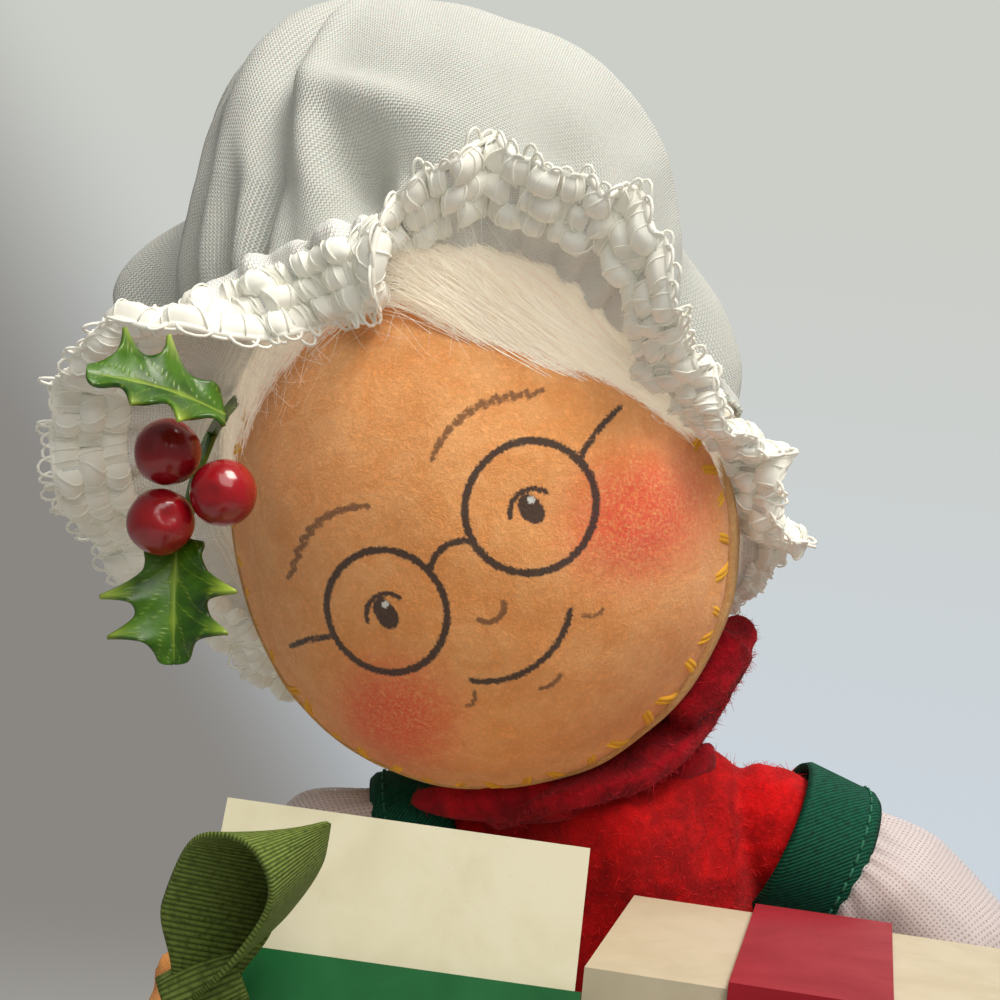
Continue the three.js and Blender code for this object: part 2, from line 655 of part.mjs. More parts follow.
function makeLeg(side, name) {
  const hip = hipPivot(side);
  const down = (z) => legPoint(side, z);
  const knee = down(KNEE_HEIGHT);
  const thigh = joined(ball(hip, HIP_BALL), limb([hip, knee], [LEG_RADIUS + 0.6, LEG_RADIUS], 2, 10));
  const kneeCup = ball(knee, KNEE_BALL + GAP);
  piece(`thigh_${name}`, cut(thigh, kneeCup, channel([down(HIP_HEIGHT + 8), knee])), STOCKING);
  piece(`leg_wire_upper_${name}`, wireAlong([hip, down(KNEE_HEIGHT + KNEE_BALL + 2 * GAP)]), WIRE);

  const ankle = LEG_RADIUS - 0.7;
  const lowerRadii = [LEG_RADIUS - 0.5, LEG_RADIUS - 0.2, ankle, ankle];
  const lower = limb([knee, down(SOLE_THICKNESS + 3)], lowerRadii, 3, 10);
  const shin = joined(ball(knee, KNEE_BALL), lower);
  piece(`shin_${name}`, cut(shin, channel([down(KNEE_HEIGHT + 6), down(ANKLE_HEIGHT)])), STOCKING);
  piece(`leg_wire_lower_${name}`, wireAlong([knee, down(ANKLE_HEIGHT + 0.5)]), WIRE);
}

// The outline of a shoe seen from above, drawn in by a margin, with its toe towards -Y
function shoeOutline(x, margin) {
  const half = SHOE_WIDTH / 2 - margin;
  const heelHalf = 0.8 * half;
  const back = SHOE_HEEL - margin;
  const front = SHOE_HEEL - SHOE_LENGTH + margin;
  const shape = new THREE.Shape();
  shape.moveTo(x - heelHalf, back - 3);
  shape.quadraticCurveTo(x - 0.7 * half, back, x, back);
  shape.quadraticCurveTo(x + 0.7 * half, back, x + heelHalf, back - 3);
  shape.bezierCurveTo(x + heelHalf, 0, x + half, front + 12, x + half, front + 8);
  shape.bezierCurveTo(x + half, front + 2, x + 0.6 * half, front, x, front);
  shape.bezierCurveTo(x - 0.6 * half, front, x - half, front + 2, x - half, front + 8);
  shape.bezierCurveTo(x - half, front + 12, x - heelHalf, 0, x - heelHalf, back - 3);
  return shape;
}

function makeShoe(side, name) {
  const { x } = legPoint(side, 0);
  const sole = new THREE.ExtrudeGeometry(shoeOutline(x, 0), {
    depth: SOLE_THICKNESS,
    bevelEnabled: false,
    curveSegments: 5,
  });
  piece(`shoe_sole_${name}`, solid(sole), SOLE);
  const base = SOLE_THICKNESS + GAP;
  const rings = [0, 0.3, 0.6, 0.85, 1].map((h) => {
    const outline = shoeOutline(x, 1.2 + 4.6 * h ** 3).getPoints(4).slice(0, -1);
    const drawIn = 1 - 0.41 * h ** 2;
    return outline.map((p) => V(p.x, p.y < 0 ? p.y * drawIn : p.y, base + SHOE_HEIGHT * h));
  });
  const ankleTop = base + SHOE_HEIGHT + 4.4;
  const cuff = limb([legPoint(side, base + 1), legPoint(side, ankleTop)], [6, 5.8], 1, 14);
  const inside = [legPoint(side, base + 1.2), legPoint(side, ankleTop + 4)];
  const pocket = limb(inside, [LEG_RADIUS, LEG_RADIUS], 1, 14);
  piece(`shoe_${name}`, cut(joined(loft(rings), cuff), pocket), BLACK_FELT);
}

// A point of the skirt: u runs round it, v down from the waist to the hem, and out is off its middle layer.
function skirtPoint(u, v, out) {
  const flared = lerp(SKIRT_TOP_RADIUS, SKIRT_HEM_RADIUS, v ** 0.85);
  const radius = flared + SKIRT_FLUTE_DEPTH * v * Math.sin(TURN * SKIRT_FLUTES * u) + out;
  const z = lerp(WAIST[2] + SKIRT_TOP_UP, SKIRT_HEM_HEIGHT, v);
  return V(WAIST[0] + radius * Math.cos(TURN * u), SKIRT_OVAL * radius * Math.sin(TURN * u), z);
}

function makeSkirt() {
  piece("skirt", cloth((u, v) => skirtPoint(u, v, 0), 4 * SKIRT_FLUTES, 3, FELT, true), RED_FELT);
  const lowest = (WAIST[2] - APRON_HEM_HEIGHT) / (WAIST[2] - SKIRT_HEM_HEIGHT);
  const front = 0.75;
  const apron = (u, v) => {
    const turn = front + (APRON_REACH / 360) * (u - 0.5);
    return skirtPoint(turn, lerp(0.05, lowest, v), FELT + ORGANZA + GAP);
  };
  piece("apron", cloth(apron, 18, 3, ORGANZA, false), WHITE_ORGANZA);
}

function makeWaistband() {
  const low = WAIST[2] + SKIRT_TOP_UP + GAP;
  const surface = (u, v) => {
    const up = WAISTBAND_HEIGHT * v;
    const x = WAISTBAND_RADIUS * Math.cos(TURN * u) - Math.tan(deg(LEAN)) * up;
    return V(WAIST[0] + x, 0.84 * WAISTBAND_RADIUS * Math.sin(TURN * u), low + up);
  };
  piece("waistband", cut(cloth(surface, 22, 1, 1.1, true), torsoBody(GAP)), GREEN_TWILL);
}

// Cap frame: a place round the cap's mouth is a share of a turn, 0 at the doll's left and 0.25 at the brow
const ringSide = V(1, 0, 0);
const ringTop = V(0, -Math.sin(deg(CAP_RING_LEAN)), Math.cos(deg(CAP_RING_LEAN)));
const ringFace = ringSide.clone().cross(ringTop).normalize();

function ringWay(turn) {
  const angle = TURN * turn;
  return ringSide.clone().multiplyScalar(Math.cos(angle)).addScaledVector(ringTop, Math.sin(angle));
}

function ringPoint(turn, seat) {
  const centre = at(CAP_RING_CENTRE);
  const way = ringWay(turn);
  return centre.addScaledVector(way, toHeadSurface(centre, way, seat));
}

// Hair: a thin layer of mohair on the head, from the hairline to under the cap
function makeHair() {
  const surface = (u, v) => {
    const drop = lerp(6.5 + 2.5 * Math.sin(Math.PI * u), -4, v);
    const way = ringWay(lerp(-0.06, 0.56, u)).multiplyScalar(24).addScaledVector(ringFace, drop);
    way.normalize();
    const centre = at(CAP_RING_CENTRE);
    return centre.addScaledVector(way, toHeadSurface(centre, way, 1.5 * GAP + HAIR_THICKNESS / 2));
  };
  piece("hair", cloth(surface, 22, 2, HAIR_THICKNESS, false), MOHAIR);
}

// Cap elastic: a thin cord in the gathers, right round the head
function makeElastic() {
  const radius = 0.55;
  const sides = 5;
  const count = 32;
  const rings = Array.from({ length: count }, (_, i) =>
    around(ringPoint(i / count, CAP_SEAT), ringWay(i / count), ringFace, radius, radius, sides),
  );
  const index = [];
  wrap(count, sides, index, true);
  piece("cap_elastic", faceted(rings.flat(), index), LACE);
}

// How far the ruffle leans from straight out towards the face, by the place round the mouth, in degrees
const RUFFLE_LEAN = [
  [0, 40],
  [0.12, 34],
  [0.22, 22],
  [0.28, 24],
  [0.33, 62],
  [0.41, 70],
  [0.48, 40],
  [0.55, 14],
  [0.66, -16],
  [0.75, -48],
  [0.86, -46],
  [1, 40],
];
// and its reach, as a share of its width where it is fullest
const RUFFLE_REACH = [
  [0, 0.5],
  [0.1, 0.62],
  [0.2, 0.95],
  [0.33, 0.9],
  [0.5, 1],
  [0.62, 0.9],
  [0.75, 0.48],
  [0.85, 0.25],
  [0.94, 0.22],
  [1, 0.5],
];

// A point of the ruffle: u round the mouth and v from the gathers to the edge.
function rufflePoint(u, v) {
  const turn = ((u % 1) + 1) % 1;
  const lean = deg(through(RUFFLE_LEAN, turn));
  const reach = RUFFLE_WIDTH * through(RUFFLE_REACH, turn) * v;
  const out = ringWay(turn).multiplyScalar(Math.cos(lean)).addScaledVector(ringFace, Math.sin(lean));
  const across = out.clone().cross(ringWay(turn + 0.25));
  const pleat = RUFFLE_PLEAT_DEPTH * Math.sin(TURN * RUFFLE_PLEATS * turn) * Math.min(1, 0.35 + v);
  return ringPoint(turn, CAP_SEAT + RUFFLE_SEAT)
    .addScaledVector(ringFace, RUFFLE_FORWARD)
    .addScaledVector(out, reach)
    .addScaledVector(across.normalize(), pleat);
}

function makeRuffle() {
  const columns = 4 * RUFFLE_PLEATS;
  const seam = 1 - LACE_WIDTH / RUFFLE_WIDTH;
  piece("cap_ruffle", cloth((u, v) => rufflePoint(u, seam * v), columns, 3, COTTON, true), WHITE_COTTON);
  const start = seam + GAP / (RUFFLE_WIDTH * 0.5);
  piece("cap_lace", cloth((u, v) => rufflePoint(u, lerp(start, 1, v)), columns, 1, COTTON, true), LACE);
}

// The crown: a full cotton bag from the gathers up, with a squarish dome and a swell low behind it
function crownPoint(u, v) {
  const turn = ((u % 1) + 1) % 1;
  const azimuth = TURN * turn;
  const polar = lerp(deg(CROWN_LOWEST), 0, v);
  const [out, height] = [Math.sin(polar), Math.abs(Math.cos(polar))];
  const square = (out ** CROWN_SQUARE + height ** CROWN_SQUARE) ** (-1 / CROWN_SQUARE);
  const low = Math.sin(Math.PI * clamp(v * 1.9, 0, 1));
  const behind = smoothstep(-Math.sin(azimuth), -0.05, 0.5);
  const fromSide = Math.min(Math.abs(turn - 0.5), turn, 1 - turn);
  const crease = CROWN_CREASE * Math.exp(-((fromSide / 0.035) ** 2)) * low;
  const gather = 0.5 * Math.sin(CROWN_GATHERS * azimuth) * Math.max(0, 1 - 1.6 * v);
  const dent = 2.6 * Math.exp(-(((turn - 0.3) / 0.05) ** 2)) * Math.sin(Math.PI * v) ** 2;
  const swell = CROWN_PUFF * low * behind - crease + gather - dent;
  const bag = at(CROWN_CENTRE).add(
    V(
      (CROWN_HALF_WIDTH * square * out + swell) * Math.cos(azimuth),
      -(CROWN_HALF_DEPTH * square * out + 0.5 * swell) * Math.sin(azimuth),
      CROWN_ABOVE * square * Math.cos(polar),
    ),
  );
  const gathers = ringPoint(turn, CAP_SEAT + 1.5).addScaledVector(ringFace, -1.6);
  return outsideHead(gathers.lerp(bag, smoothstep(v, 0, 0.22)), CAP_SEAT + 1.9);
}

function makeCrown() {
  const columns = 3 * CROWN_GATHERS;
  const rows = 7;
  const step = 1e-3;
  const bag = (grow) =>
    Array.from({ length: rows + 1 }, (_, j) =>
      Array.from({ length: columns }, (__, i) => {
        const u = i / columns;
        const v = (0.98 * j) / rows;
        const du = crownPoint(u + step, v).sub(crownPoint(u - step, v));
        const dv = crownPoint(u, v + step).sub(crownPoint(u, Math.max(0, v - step)));
        return crownPoint(u, v).addScaledVector(dv.cross(du).normalize(), grow);
      }),
    );
  const inside = bag(-COTTON / 2);
  const mouth = inside[0].map((p) => p.clone().add(ringFace));
  piece("cap_crown", cut(loft(bag(COTTON / 2)), loft([mouth, ...inside])), WHITE_COTTON);
}

// A spiny leaf from its root to its tip, cupped along its midrib, whose face looks along the normal.
function leaf({ root, tip, normal, half }) {
  const along = at(tip).sub(at(root));
  const length = along.length();
  along.normalize();
  const up = at(normal).addScaledVector(along, -at(normal).dot(along)).normalize();
  const across = up.clone().cross(along).normalize();
  const edge = (t) => {
    const body = Math.sin(Math.PI * (0.08 + 0.92 * t) ** 0.9) ** 0.7;
    const spine = 0.55 + 0.45 * ((t * LEAF_SPINES) % 1) ** 2;
    return Math.max(0.25, half * body * spine);
  };
  const surface = (u, v) => {
    const reach = edge(clamp(u, 0, 1)) * (2 * v - 1);
    return at(root)
      .addScaledVector(along, length * u + 0.35 * Math.abs(reach))
      .addScaledVector(across, reach)
      .addScaledVector(up, 0.35 * Math.abs(reach) + 0.06 * length * Math.sin(Math.PI * u));
  };
  return cloth(surface, 3 * LEAF_SPINES, 4, LEAF_THICKNESS, false);
}

// Holly: two leaves and three berries on a short wire stem, pinned to the cap over the doll's right ear
function makeHolly() {
  const rooms = BERRIES.map((p) => ball(at(p), BERRY_RADIUS + GAP));
  BERRIES.forEach((p, i) => {
    piece(`holly_berry_${i + 1}`, cut(ball(at(p), BERRY_RADIUS), ...rooms.slice(0, i)), BERRY);
  });
  const pinned = ringPoint(0.47, CAP_SEAT).addScaledVector(ringFace, STEM_RADIUS + 3 * GAP);
  const fork = V(-47, -24, 147);
  const stemPath = [pinned, fork, V(-47.4, -27.3, 143), V(-47.6, -28, 138.3)];
  const stem = limb(stemPath, [STEM_RADIUS, STEM_RADIUS], 7, 6);
  const leafEnd = at(UPPER_LEAF.root);
  const short = STEM_RADIUS + LEAF_THICKNESS;
  const twigEnd = leafEnd.addScaledVector(leafEnd.clone().sub(fork).normalize(), -short);
  const twig = limb([fork, twigEnd], [STEM_RADIUS, 0.8 * STEM_RADIUS], 1, 6);
  piece("holly_stem", cut(joined(stem, twig), ...rooms), LEAF);
  piece("holly_leaf_upper", cut(leaf(UPPER_LEAF), ...rooms), LEAF);
  piece("holly_leaf_lower", cut(leaf(LOWER_LEAF), ...rooms), LEAF);
}

// Gift boxes: each is modelled from its front left top corner, then turned into the mitts
function giftFrame(gift) {
  return new THREE.Matrix4()
    .makeTranslation(...gift.corner)
    .multiply(new THREE.Matrix4().makeRotationY(-deg(gift.roll)))
    .multiply(new THREE.Matrix4().makeRotationZ(-deg(gift.yaw)))
    .multiply(new THREE.Matrix4().makeRotationX(-deg(gift.pitch)));
}

// A block between two corners of a gift box's frame.
function block(low, high, frame) {
  const size = at(high).sub(at(low));
  const middle = at(high).add(at(low)).multiplyScalar(0.5);
  const box = new THREE.BoxGeometry(size.x, size.y, size.z).translate(middle.x, middle.y, middle.z);
  return solid(box.applyMatrix4(frame));
}

// A carton whose end is shut by a tucked flap. The open end looks along +X if opensRight, and else along -X.
function makeCarton(gift, opensRight, name) {
  const frame = giftFrame(gift);
  const [w, d, h] = gift.size;
  const [from, to] = opensRight ? [CARD, w + 1] : [-1, w - CARD];
  const hollow = block([from, CARD, CARD - h], [to, d - CARD, -CARD], frame);
  piece(`${name}_carton`, cut(block([0, 0, -h], [w, d, 0], frame), hollow), CARTON);
  const seat = CARD + GAP;
  const flapFrom = opensRight ? w - CARD - 0.5 : 0.5;
  const flap = block([flapFrom, seat, seat - h], [flapFrom + CARD, d - seat, -seat], frame);
  piece(`${name}_flap`, flap, CARTON_INSIDE);
}

// The right box's green band goes round its sides, and the left box's red band over its top and bottom
function makeGiftBands() {
  const out = GAP + RIBBON;
  const rightFrame = giftFrame(GIFT_RIGHT);
  const [w, d] = GIFT_RIGHT.size;
  const top = -GREEN_BAND_DROP;
  const low = top - GREEN_BAND_HEIGHT;
  const green = block([-out, -out, low], [w + GAP + 0.2, d + out, top], rightFrame);
  const greenInside = block([-GAP, -GAP, low - 1], [w + GAP / 2, d + GAP, top + 1], rightFrame);
  piece("gift_right_band", cut(green, greenInside), GREEN_BAND);

  const leftFrame = giftFrame(GIFT_LEFT);
  const [, depth, height] = GIFT_LEFT.size;
  const from = RED_BAND_FROM_LEFT;
  const to = from + RED_BAND_WIDTH;
  const red = block([from, -out, -height - out], [to, depth + out, out], leftFrame);
  const redInside = block([from - 1, -GAP, -height - GAP], [to + 1, depth + GAP, GAP], leftFrame);
  piece("gift_left_band", cut(red, redInside), RED_BAND);
}

// The bow on the right box: two loops of ribbed ribbon and a knot, standing on the green band
function makeBow() {
  const frame = giftFrame(GIFT_RIGHT);
  const stand = GAP + RIBBON + GAP;
  const knot = V(BOW_FROM_LEFT, -stand - BOW_KNOT_RADIUS, -GREEN_BAND_DROP - GREEN_BAND_HEIGHT / 2);
  const outline = (margin) => {
    const length = BOW_LOOP_LENGTH - margin;
    const half = BOW_LOOP_HALF - margin;
    const shape = new THREE.Shape();
    shape.moveTo(0.6 + margin, 0.3);
    shape.bezierCurveTo(0.4 * length, 1.1 * half, length, 1.5 * half, length, 0);
    shape.bezierCurveTo(length, -1.5 * half, 0.4 * length, -1.1 * half, 0.6 + margin, -0.3);
    return shape;
  };
  const slab = (margin, width, place) => {
    const options = { depth: width, bevelEnabled: false, curveSegments: 3 };
    const loop = new THREE.ExtrudeGeometry(outline(margin), options);
    return solid(loop.translate(0, 0, -width / 2).applyMatrix4(place));
  };
  const root = knot.clone().applyMatrix4(frame);
  const loops = BOW_LOOPS.map(({ towards, across }) => {
    const along = at(towards).normalize();
    const open = at(across).cross(along).normalize();
    const place = new THREE.Matrix4().makeBasis(along, open, along.clone().cross(open)).setPosition(root);
    return cut(slab(0, BOW_RIBBON_WIDTH, place), slab(RIBBON + 0.2, BOW_RIBBON_WIDTH + 2, place));
  });
  const middle = new THREE.SphereGeometry(BOW_KNOT_RADIUS, 8, 6).translate(knot.x, knot.y, knot.z);
  const w = GIFT_RIGHT.size[0];
  const boxRoom = block([-stand, -stand, -60], [w, 60, 2], frame);
  piece("gift_right_bow", cut(joined(solid(middle.applyMatrix4(frame)), ...loops), boxRoom), OLIVE_RIBBON);
}

makeHead();
makeNeck();
makeTorso();
makeCollar();
for (const [side, name] of [[-1, "right"], [1, "left"]]) {
  makeArm(side, name);
  makeSleeve(side, name);
  makeArmBand(side, name);
  makeLeg(side, name);
  makeShoe(side, name);
}
makeSkirt();
makeWaistband();
makeHair();
makeElastic();
makeRuffle();
makeCrown();
makeHolly();
makeCarton(GIFT_RIGHT, true, "gift_right");
makeCarton(GIFT_LEFT, false, "gift_left");
makeGiftBands();
makeBow();

// The origin is at the bottom centre of the doll's box
const doll = new THREE.Group();
doll.add(...meshes);
const box = new THREE.Box3().setFromObject(doll);
const middle = box.getCenter(V(0, 0, 0));
doll.position.set(-middle.x, -middle.y, -box.min.z);

export default doll;
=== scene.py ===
"""A felt holiday grandmother doll: soft goods, hair, lace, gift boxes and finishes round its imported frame.

Lengths in the maker's own numbers are millimetres, as in the pattern, and are turned into metres in add_mesh.
"""

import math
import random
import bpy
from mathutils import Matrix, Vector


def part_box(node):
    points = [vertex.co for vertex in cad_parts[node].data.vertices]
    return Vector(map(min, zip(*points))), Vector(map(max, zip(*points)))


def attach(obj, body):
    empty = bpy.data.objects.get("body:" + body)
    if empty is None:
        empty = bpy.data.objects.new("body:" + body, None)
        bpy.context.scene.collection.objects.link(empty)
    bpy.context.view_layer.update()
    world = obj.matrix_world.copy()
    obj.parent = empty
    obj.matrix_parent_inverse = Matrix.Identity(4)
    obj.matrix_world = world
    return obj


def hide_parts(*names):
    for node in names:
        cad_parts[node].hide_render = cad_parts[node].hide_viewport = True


bl_info = {
    "name": "Felt Grandmother Doll",
    "version": (1, 0, 0),
    "blender": (4, 5, 0),
    "location": "View3D > Sidebar > Doll",
    "description": "Dresses a felt doll frame with felt, gathered cotton, lace, mohair and gifts",
    "category": "Add Mesh",
}

import bmesh
import bpy
from mathutils import Matrix, Vector, noise

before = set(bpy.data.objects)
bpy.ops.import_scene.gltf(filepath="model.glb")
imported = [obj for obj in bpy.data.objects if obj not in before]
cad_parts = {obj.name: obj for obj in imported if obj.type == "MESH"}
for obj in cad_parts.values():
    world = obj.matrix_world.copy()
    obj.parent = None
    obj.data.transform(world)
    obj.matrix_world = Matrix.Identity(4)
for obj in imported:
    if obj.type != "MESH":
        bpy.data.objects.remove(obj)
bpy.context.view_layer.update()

MM = 0.001
FULL_TURN = 2 * math.pi

# Clearance, and the thickness of each cloth and leaf
GAP = 0.3
FELT = 1.2
COTTON = 0.5
ORGANZA = 0.35
TAPE = 0.42
RIBBON = 0.45
LEAF = 0.4

# Cloth as it is cut, in metres: the twill tapes are cut twice as wide as they lie
SLEEVE_CUT = (0.06, 0.026)
ARMHOLE_TAPE_LENGTH = 0.056
WAIST_TAPE_LENGTH = 0.08
SKIRT_CUT = (0.17, 0.06)
APRON_CUT = (0.055, 0.045)
FRILL_LENGTH = 0.26
BOW_RIBBON_LENGTH = 0.1
BOW_LOOP_RIBBON = 0.046
BOW_WRAP_RIBBON = 0.015

# Loose fibres on felt: their length and width in mm
CLOTH_FUZZ = (0.9, 0.05)
FACE_FUZZ = (1.7, 0.055)

# Body: places and sizes are those of the frame
FIRST_BERRY = (-49.8, -31, 144.4)
WAIST = (4.5, 0, 78)
LEAN = 9
SHOULDER_UP = 31
SHOULDER_OUT = 17.8
BAND_RADIUS = 8.4
BAND_WIDTH = 8.4
BAND_INSIDE = 0.6
BAND_DROOP = 18
BAND_STITCHES = 36
# How far across the band its stitches run
BAND_SEAM = 0.84
ELBOW_LEFT = (43, -7, 91)
ELBOW_RIGHT = (-42.5, -8, 88.5)
SLEEVE_GATHERS = 22
# Radius of a sleeve by share of its length
SLEEVE_PROFILE = [(0, BAND_RADIUS - 2.2), (0.35, 9.5), (0.7, 8.9), (1, 5.6)]

# Head
HEAD_CENTRE = (-18.8, -10, 140)
HEAD_TILT = 44
HEAD_YAW = 10
HEAD_HALF_WIDTH = 25
HEAD_HALF_DEPTH = 19.5
HEAD_ABOVE = 30
HEAD_BELOW = 24.5
HEAD_TAPER = 0.1
SEAM_FORWARD = 5.5
SEAM_RADIUS = 22
STITCH_COUNT = 44
STITCH_LENGTH = 3.4
STITCH_RADIUS = 0.3

# Cap
HAIR_SEAT = 1.2
CAP_RING_CENTRE = (-21, -10, 147.5)
CAP_RING_LEAN = 35
CAP_RING_RADIUS = 24
CAP_SEAT = 2.2
CROWN_CENTRE = (-29.5, 0, 168)
CROWN_HALF_WIDTH = 27
CROWN_HALF_DEPTH = 23
CROWN_ABOVE = 28.4
CROWN_SQUARE = 2.5
CROWN_SLOPE = 0.07
CROWN_PUFF = 15
CROWN_PUFF_TOP = (0.39, 0.53)
CROWN_CREASE = 2.5
CROWN_CREASES_AT = (0.53, 0.97)
CROWN_GATHERS = 46
CROWN_WIDE_GATHERS = 29
CROWN_ROOT = 1.5
CROWN_CLEAR = 1.9
CROWN_LOWEST = 138
CROWN_CUT_RADIUS = 60
CROWN_REACH = 0.985
# The large folds of the bag: place round the mouth, height up the bag, spread of each, and how far out
CROWN_FOLDS = [
    (0.26, 0.15, 0.09, 0.08, -4.5), (0.346, 0.56, 0.017, 0.26, -2.2),
    (0.378, 0.52, 0.022, 0.26, 1.4), (0.325, 0.6, 0.012, 0.2, 1.4),
    (0.283, 0.42, 0.028, 0.07, -5), (0.32, 0.42, 0.012, 0.08, 1.8),
    (0.285, 0.545, 0.04, 0.03, 1.6), (0.266, 0.4, 0.008, 0.06, 2.6),
    (0.15, 0.5, 0.03, 0.1, -1.4), (0.12, 0.36, 0.02, 0.16, 1.1),
    (0.09, 0.3, 0.012, 0.14, -1.3), (0.338, 0.3, 0.007, 0.12, 1.5),
    (0.35, 0.3, 0.006, 0.12, -1.6), (0.362, 0.3, 0.007, 0.12, 1.4),
    (0.377, 0.3, 0.008, 0.12, -1.5), (0.393, 0.3, 0.008, 0.13, 1.4),
    (0.411, 0.3, 0.008, 0.12, -1.5), (0.43, 0.3, 0.01, 0.13, 1.2),
    (0.452, 0.28, 0.009, 0.12, -1.2), (0.57, 0.24, 0.012, 0.16, -1.6),
    (0.62, 0.24, 0.03, 0.2, 1.2), (0.7, 0.24, 0.02, 0.2, -1.8),
    (0.8, 0.24, 0.03, 0.2, 1.5), (0.88, 0.24, 0.02, 0.18, -1.6),
    (0.935, 0.24, 0.012, 0.16, -1.5),
]
RUFFLE_WIDTH = 17
RUFFLE_SEAT = 1.6
RUFFLE_WAVES = 14
FRILL_REACH = 0.95
LACE_WIDTH = 7
LACE_PUFFS = 84
LACE_RIM_RADIUS = 0.36
LACE_LOOP_RADIUS = 0.17
# Where each row of puffs lies across the lace, and half a row's width, as shares of the lace's width
LACE_ROWS = (0.12, 0.46, 0.8)
LACE_HALF_ROW = 0.2
# How far towards the face the ruffle's root lies, by place round the mouth
RUFFLE_FORWARD = [
    (0, 1), (0.04, 2.2), (0.18, 2.2), (0.24, -0.6), (0.4, -0.6), (0.45, 2.2),
    (0.85, 2.2), (0.94, -1.5), (0.97, -1.5), (1, 1),
]
# How many degrees the ruffle leans from straight out towards the face
RUFFLE_LEAN = [
    (0, 110), (0.03, 125), (0.13, 115), (0.19, 22), (0.25, 2), (0.3, 2),
    (0.34, -8), (0.4, -8), (0.46, 26), (0.5, 22), (0.55, 10), (0.6, -2),
    (0.66, -16), (0.75, -48), (0.94, -50), (0.97, -30), (1, 110),
]
# The ruffle folds over itself: by how many degrees, and between which shares of its length
RUFFLE_FOLD = [
    (0, -80), (0.13, -85), (0.19, 0), (0.305, 0), (0.335, 158), (0.39, 150),
    (0.45, 0), (0.97, 0), (1, -80),
]
RUFFLE_FOLD_SPAN = (0.28, 0.5)
# Deep single pleats: place round the mouth, half width and height
RUFFLE_PLEATS = [
    (0.262, 0.004, -2.4), (0.245, 0.009, 1.6), (0.28, 0.01, 1.8), (0.2, 0.008, -2.2),
    (0.15, 0.008, -2.4), (0.1, 0.01, 1.6), (0.055, 0.007, -2), (0.365, 0.009, 1),
    (0.39, 0.007, -1.2), (0.47, 0.009, -1.8), (0.52, 0.012, 1.5), (0.565, 0.009, -1.6),
]
# The share of its full width that the ruffle reaches
RUFFLE_REACH = [
    (0, 0.4), (0.04, 0.52), (0.13, 0.56), (0.21, 0.82), (0.27, 0.76), (0.29, 0.64),
    (0.31, 0.48), (0.335, 0.88), (0.4, 0.9), (0.46, 0.95), (0.5, 0.95), (0.56, 0.85),
    (0.62, 0.62), (0.68, 0.5), (0.75, 0.42), (0.85, 0.26), (0.96, 0.24), (1, 0.4),
]

# Holly leaves: root, tip, the way the face looks, and half width
LEAF_UPPER = ((-44.6, -33.3, 148.4), (-56.2, -40, 150.2), (-0.2, -0.72, 0.66), 6.4)
LEAF_LOWER = ((-48, -29.2, 136.6), (-46.2, -32, 125), (-0.15, -1, 0.1), 7)

# Gift boxes and bow
GIFT_RIGHT_CORNER = (-38.6, -40, 114.9)
GIFT_RIGHT_PITCH = 24
GREEN_BAND_DROP = 12.6
GREEN_BAND_HEIGHT = 9
BOW_RIBBON_WIDTH = 10
BOW_LOOP_LENGTH = 16.8
BOW_LOOP_HALF = 2.4
BOW_KNOT_RADIUS = 3
BOW_WRAP_WIDTH = 6.5
BOW_FROM_LEFT = 1.5
# Where each loop points from the knot, roughly where its ribbon's width points, and its twist on the way back
BOW_LOOPS = [((6.4, -6, 16), (2.6, 9, 1.6), 48), ((3, -11, -17), (6.8, 4, -1.5), 0)]

# Camera: the photograph's place and turn
CAMERA_PLACE = (-18.4, -200, 144.3)
CAMERA_ROLL = 8
CAMERA_LENS = 65.1
CAMERA_SENSOR = 36


def deg(angle):
    return math.radians(angle)


def lerp(a, b, t):
    return a + (b - a) * t


def smooth(value, low, high):
    t = min(1, max(0, (value - low) / (high - low)))
    return t * t * (3 - 2 * t)


def through(pairs, place):
    """A smooth value between stated ones: pairs of place and value, in order."""
    if place <= pairs[0][0]:
        return pairs[0][1]
    for (start, before), (end, after) in zip(pairs, pairs[1:]):
        if place <= end:
            return before + (after - before) * smooth(place, start, end)
    return pairs[-1][1]


def middle_of(node):
    low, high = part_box(node)
    return (Vector(low) + Vector(high)) / 2


# The frame's origin, seen from the pattern's: the first berry is a whole ball, so its box gives its middle
SHIFT = middle_of("holly_berry_1") / MM - Vector(FIRST_BERRY)


def catmull(points, place):
    """A point of a smooth curve through some points; place runs from 0 to 1."""
    points = [Vector(p) for p in points]
    spot = place * (len(points) - 1)
    i = min(int(spot), len(points) - 2)
    t = spot - i
    a, b = points[max(i - 1, 0)], points[i]
    c, d = points[i + 1], points[min(i + 2, len(points) - 1)]
    square = (2 * a - 5 * b + 4 * c - d) * t**2
    cube = (3 * b - a - 3 * c + d) * t**3
    return 0.5 * (2 * b + (c - a) * t + square + cube)


def heading(points, place):
    """The way catmull's curve runs at a place."""
    return (catmull(points, min(1, place + 0.01)) - catmull(points, max(0, place - 0.01))).normalized()


# Body frame

SPINE = Vector((-math.sin(deg(LEAN)), 0, math.cos(deg(LEAN))))
SHOULDER_LINE = Vector((math.cos(deg(LEAN)), 0, math.sin(deg(LEAN))))


def shoulder(side):
    return Vector(WAIST) + SPINE * SHOULDER_UP + SHOULDER_LINE * side * SHOULDER_OUT


def band_way(side):
    """Out of an armhole: the shoulders droop."""
    return Vector((side * math.cos(deg(BAND_DROOP)), 0, -math.sin(deg(BAND_DROOP))))


# Head frame

HEAD_FRAME = (
    Matrix.Translation(HEAD_CENTRE)
    @ Matrix.Rotation(-deg(HEAD_TILT), 4, "Y")
    @ Matrix.Rotation(-deg(HEAD_YAW), 4, "Z")
)
HEAD_INVERSE = HEAD_FRAME.inverted()


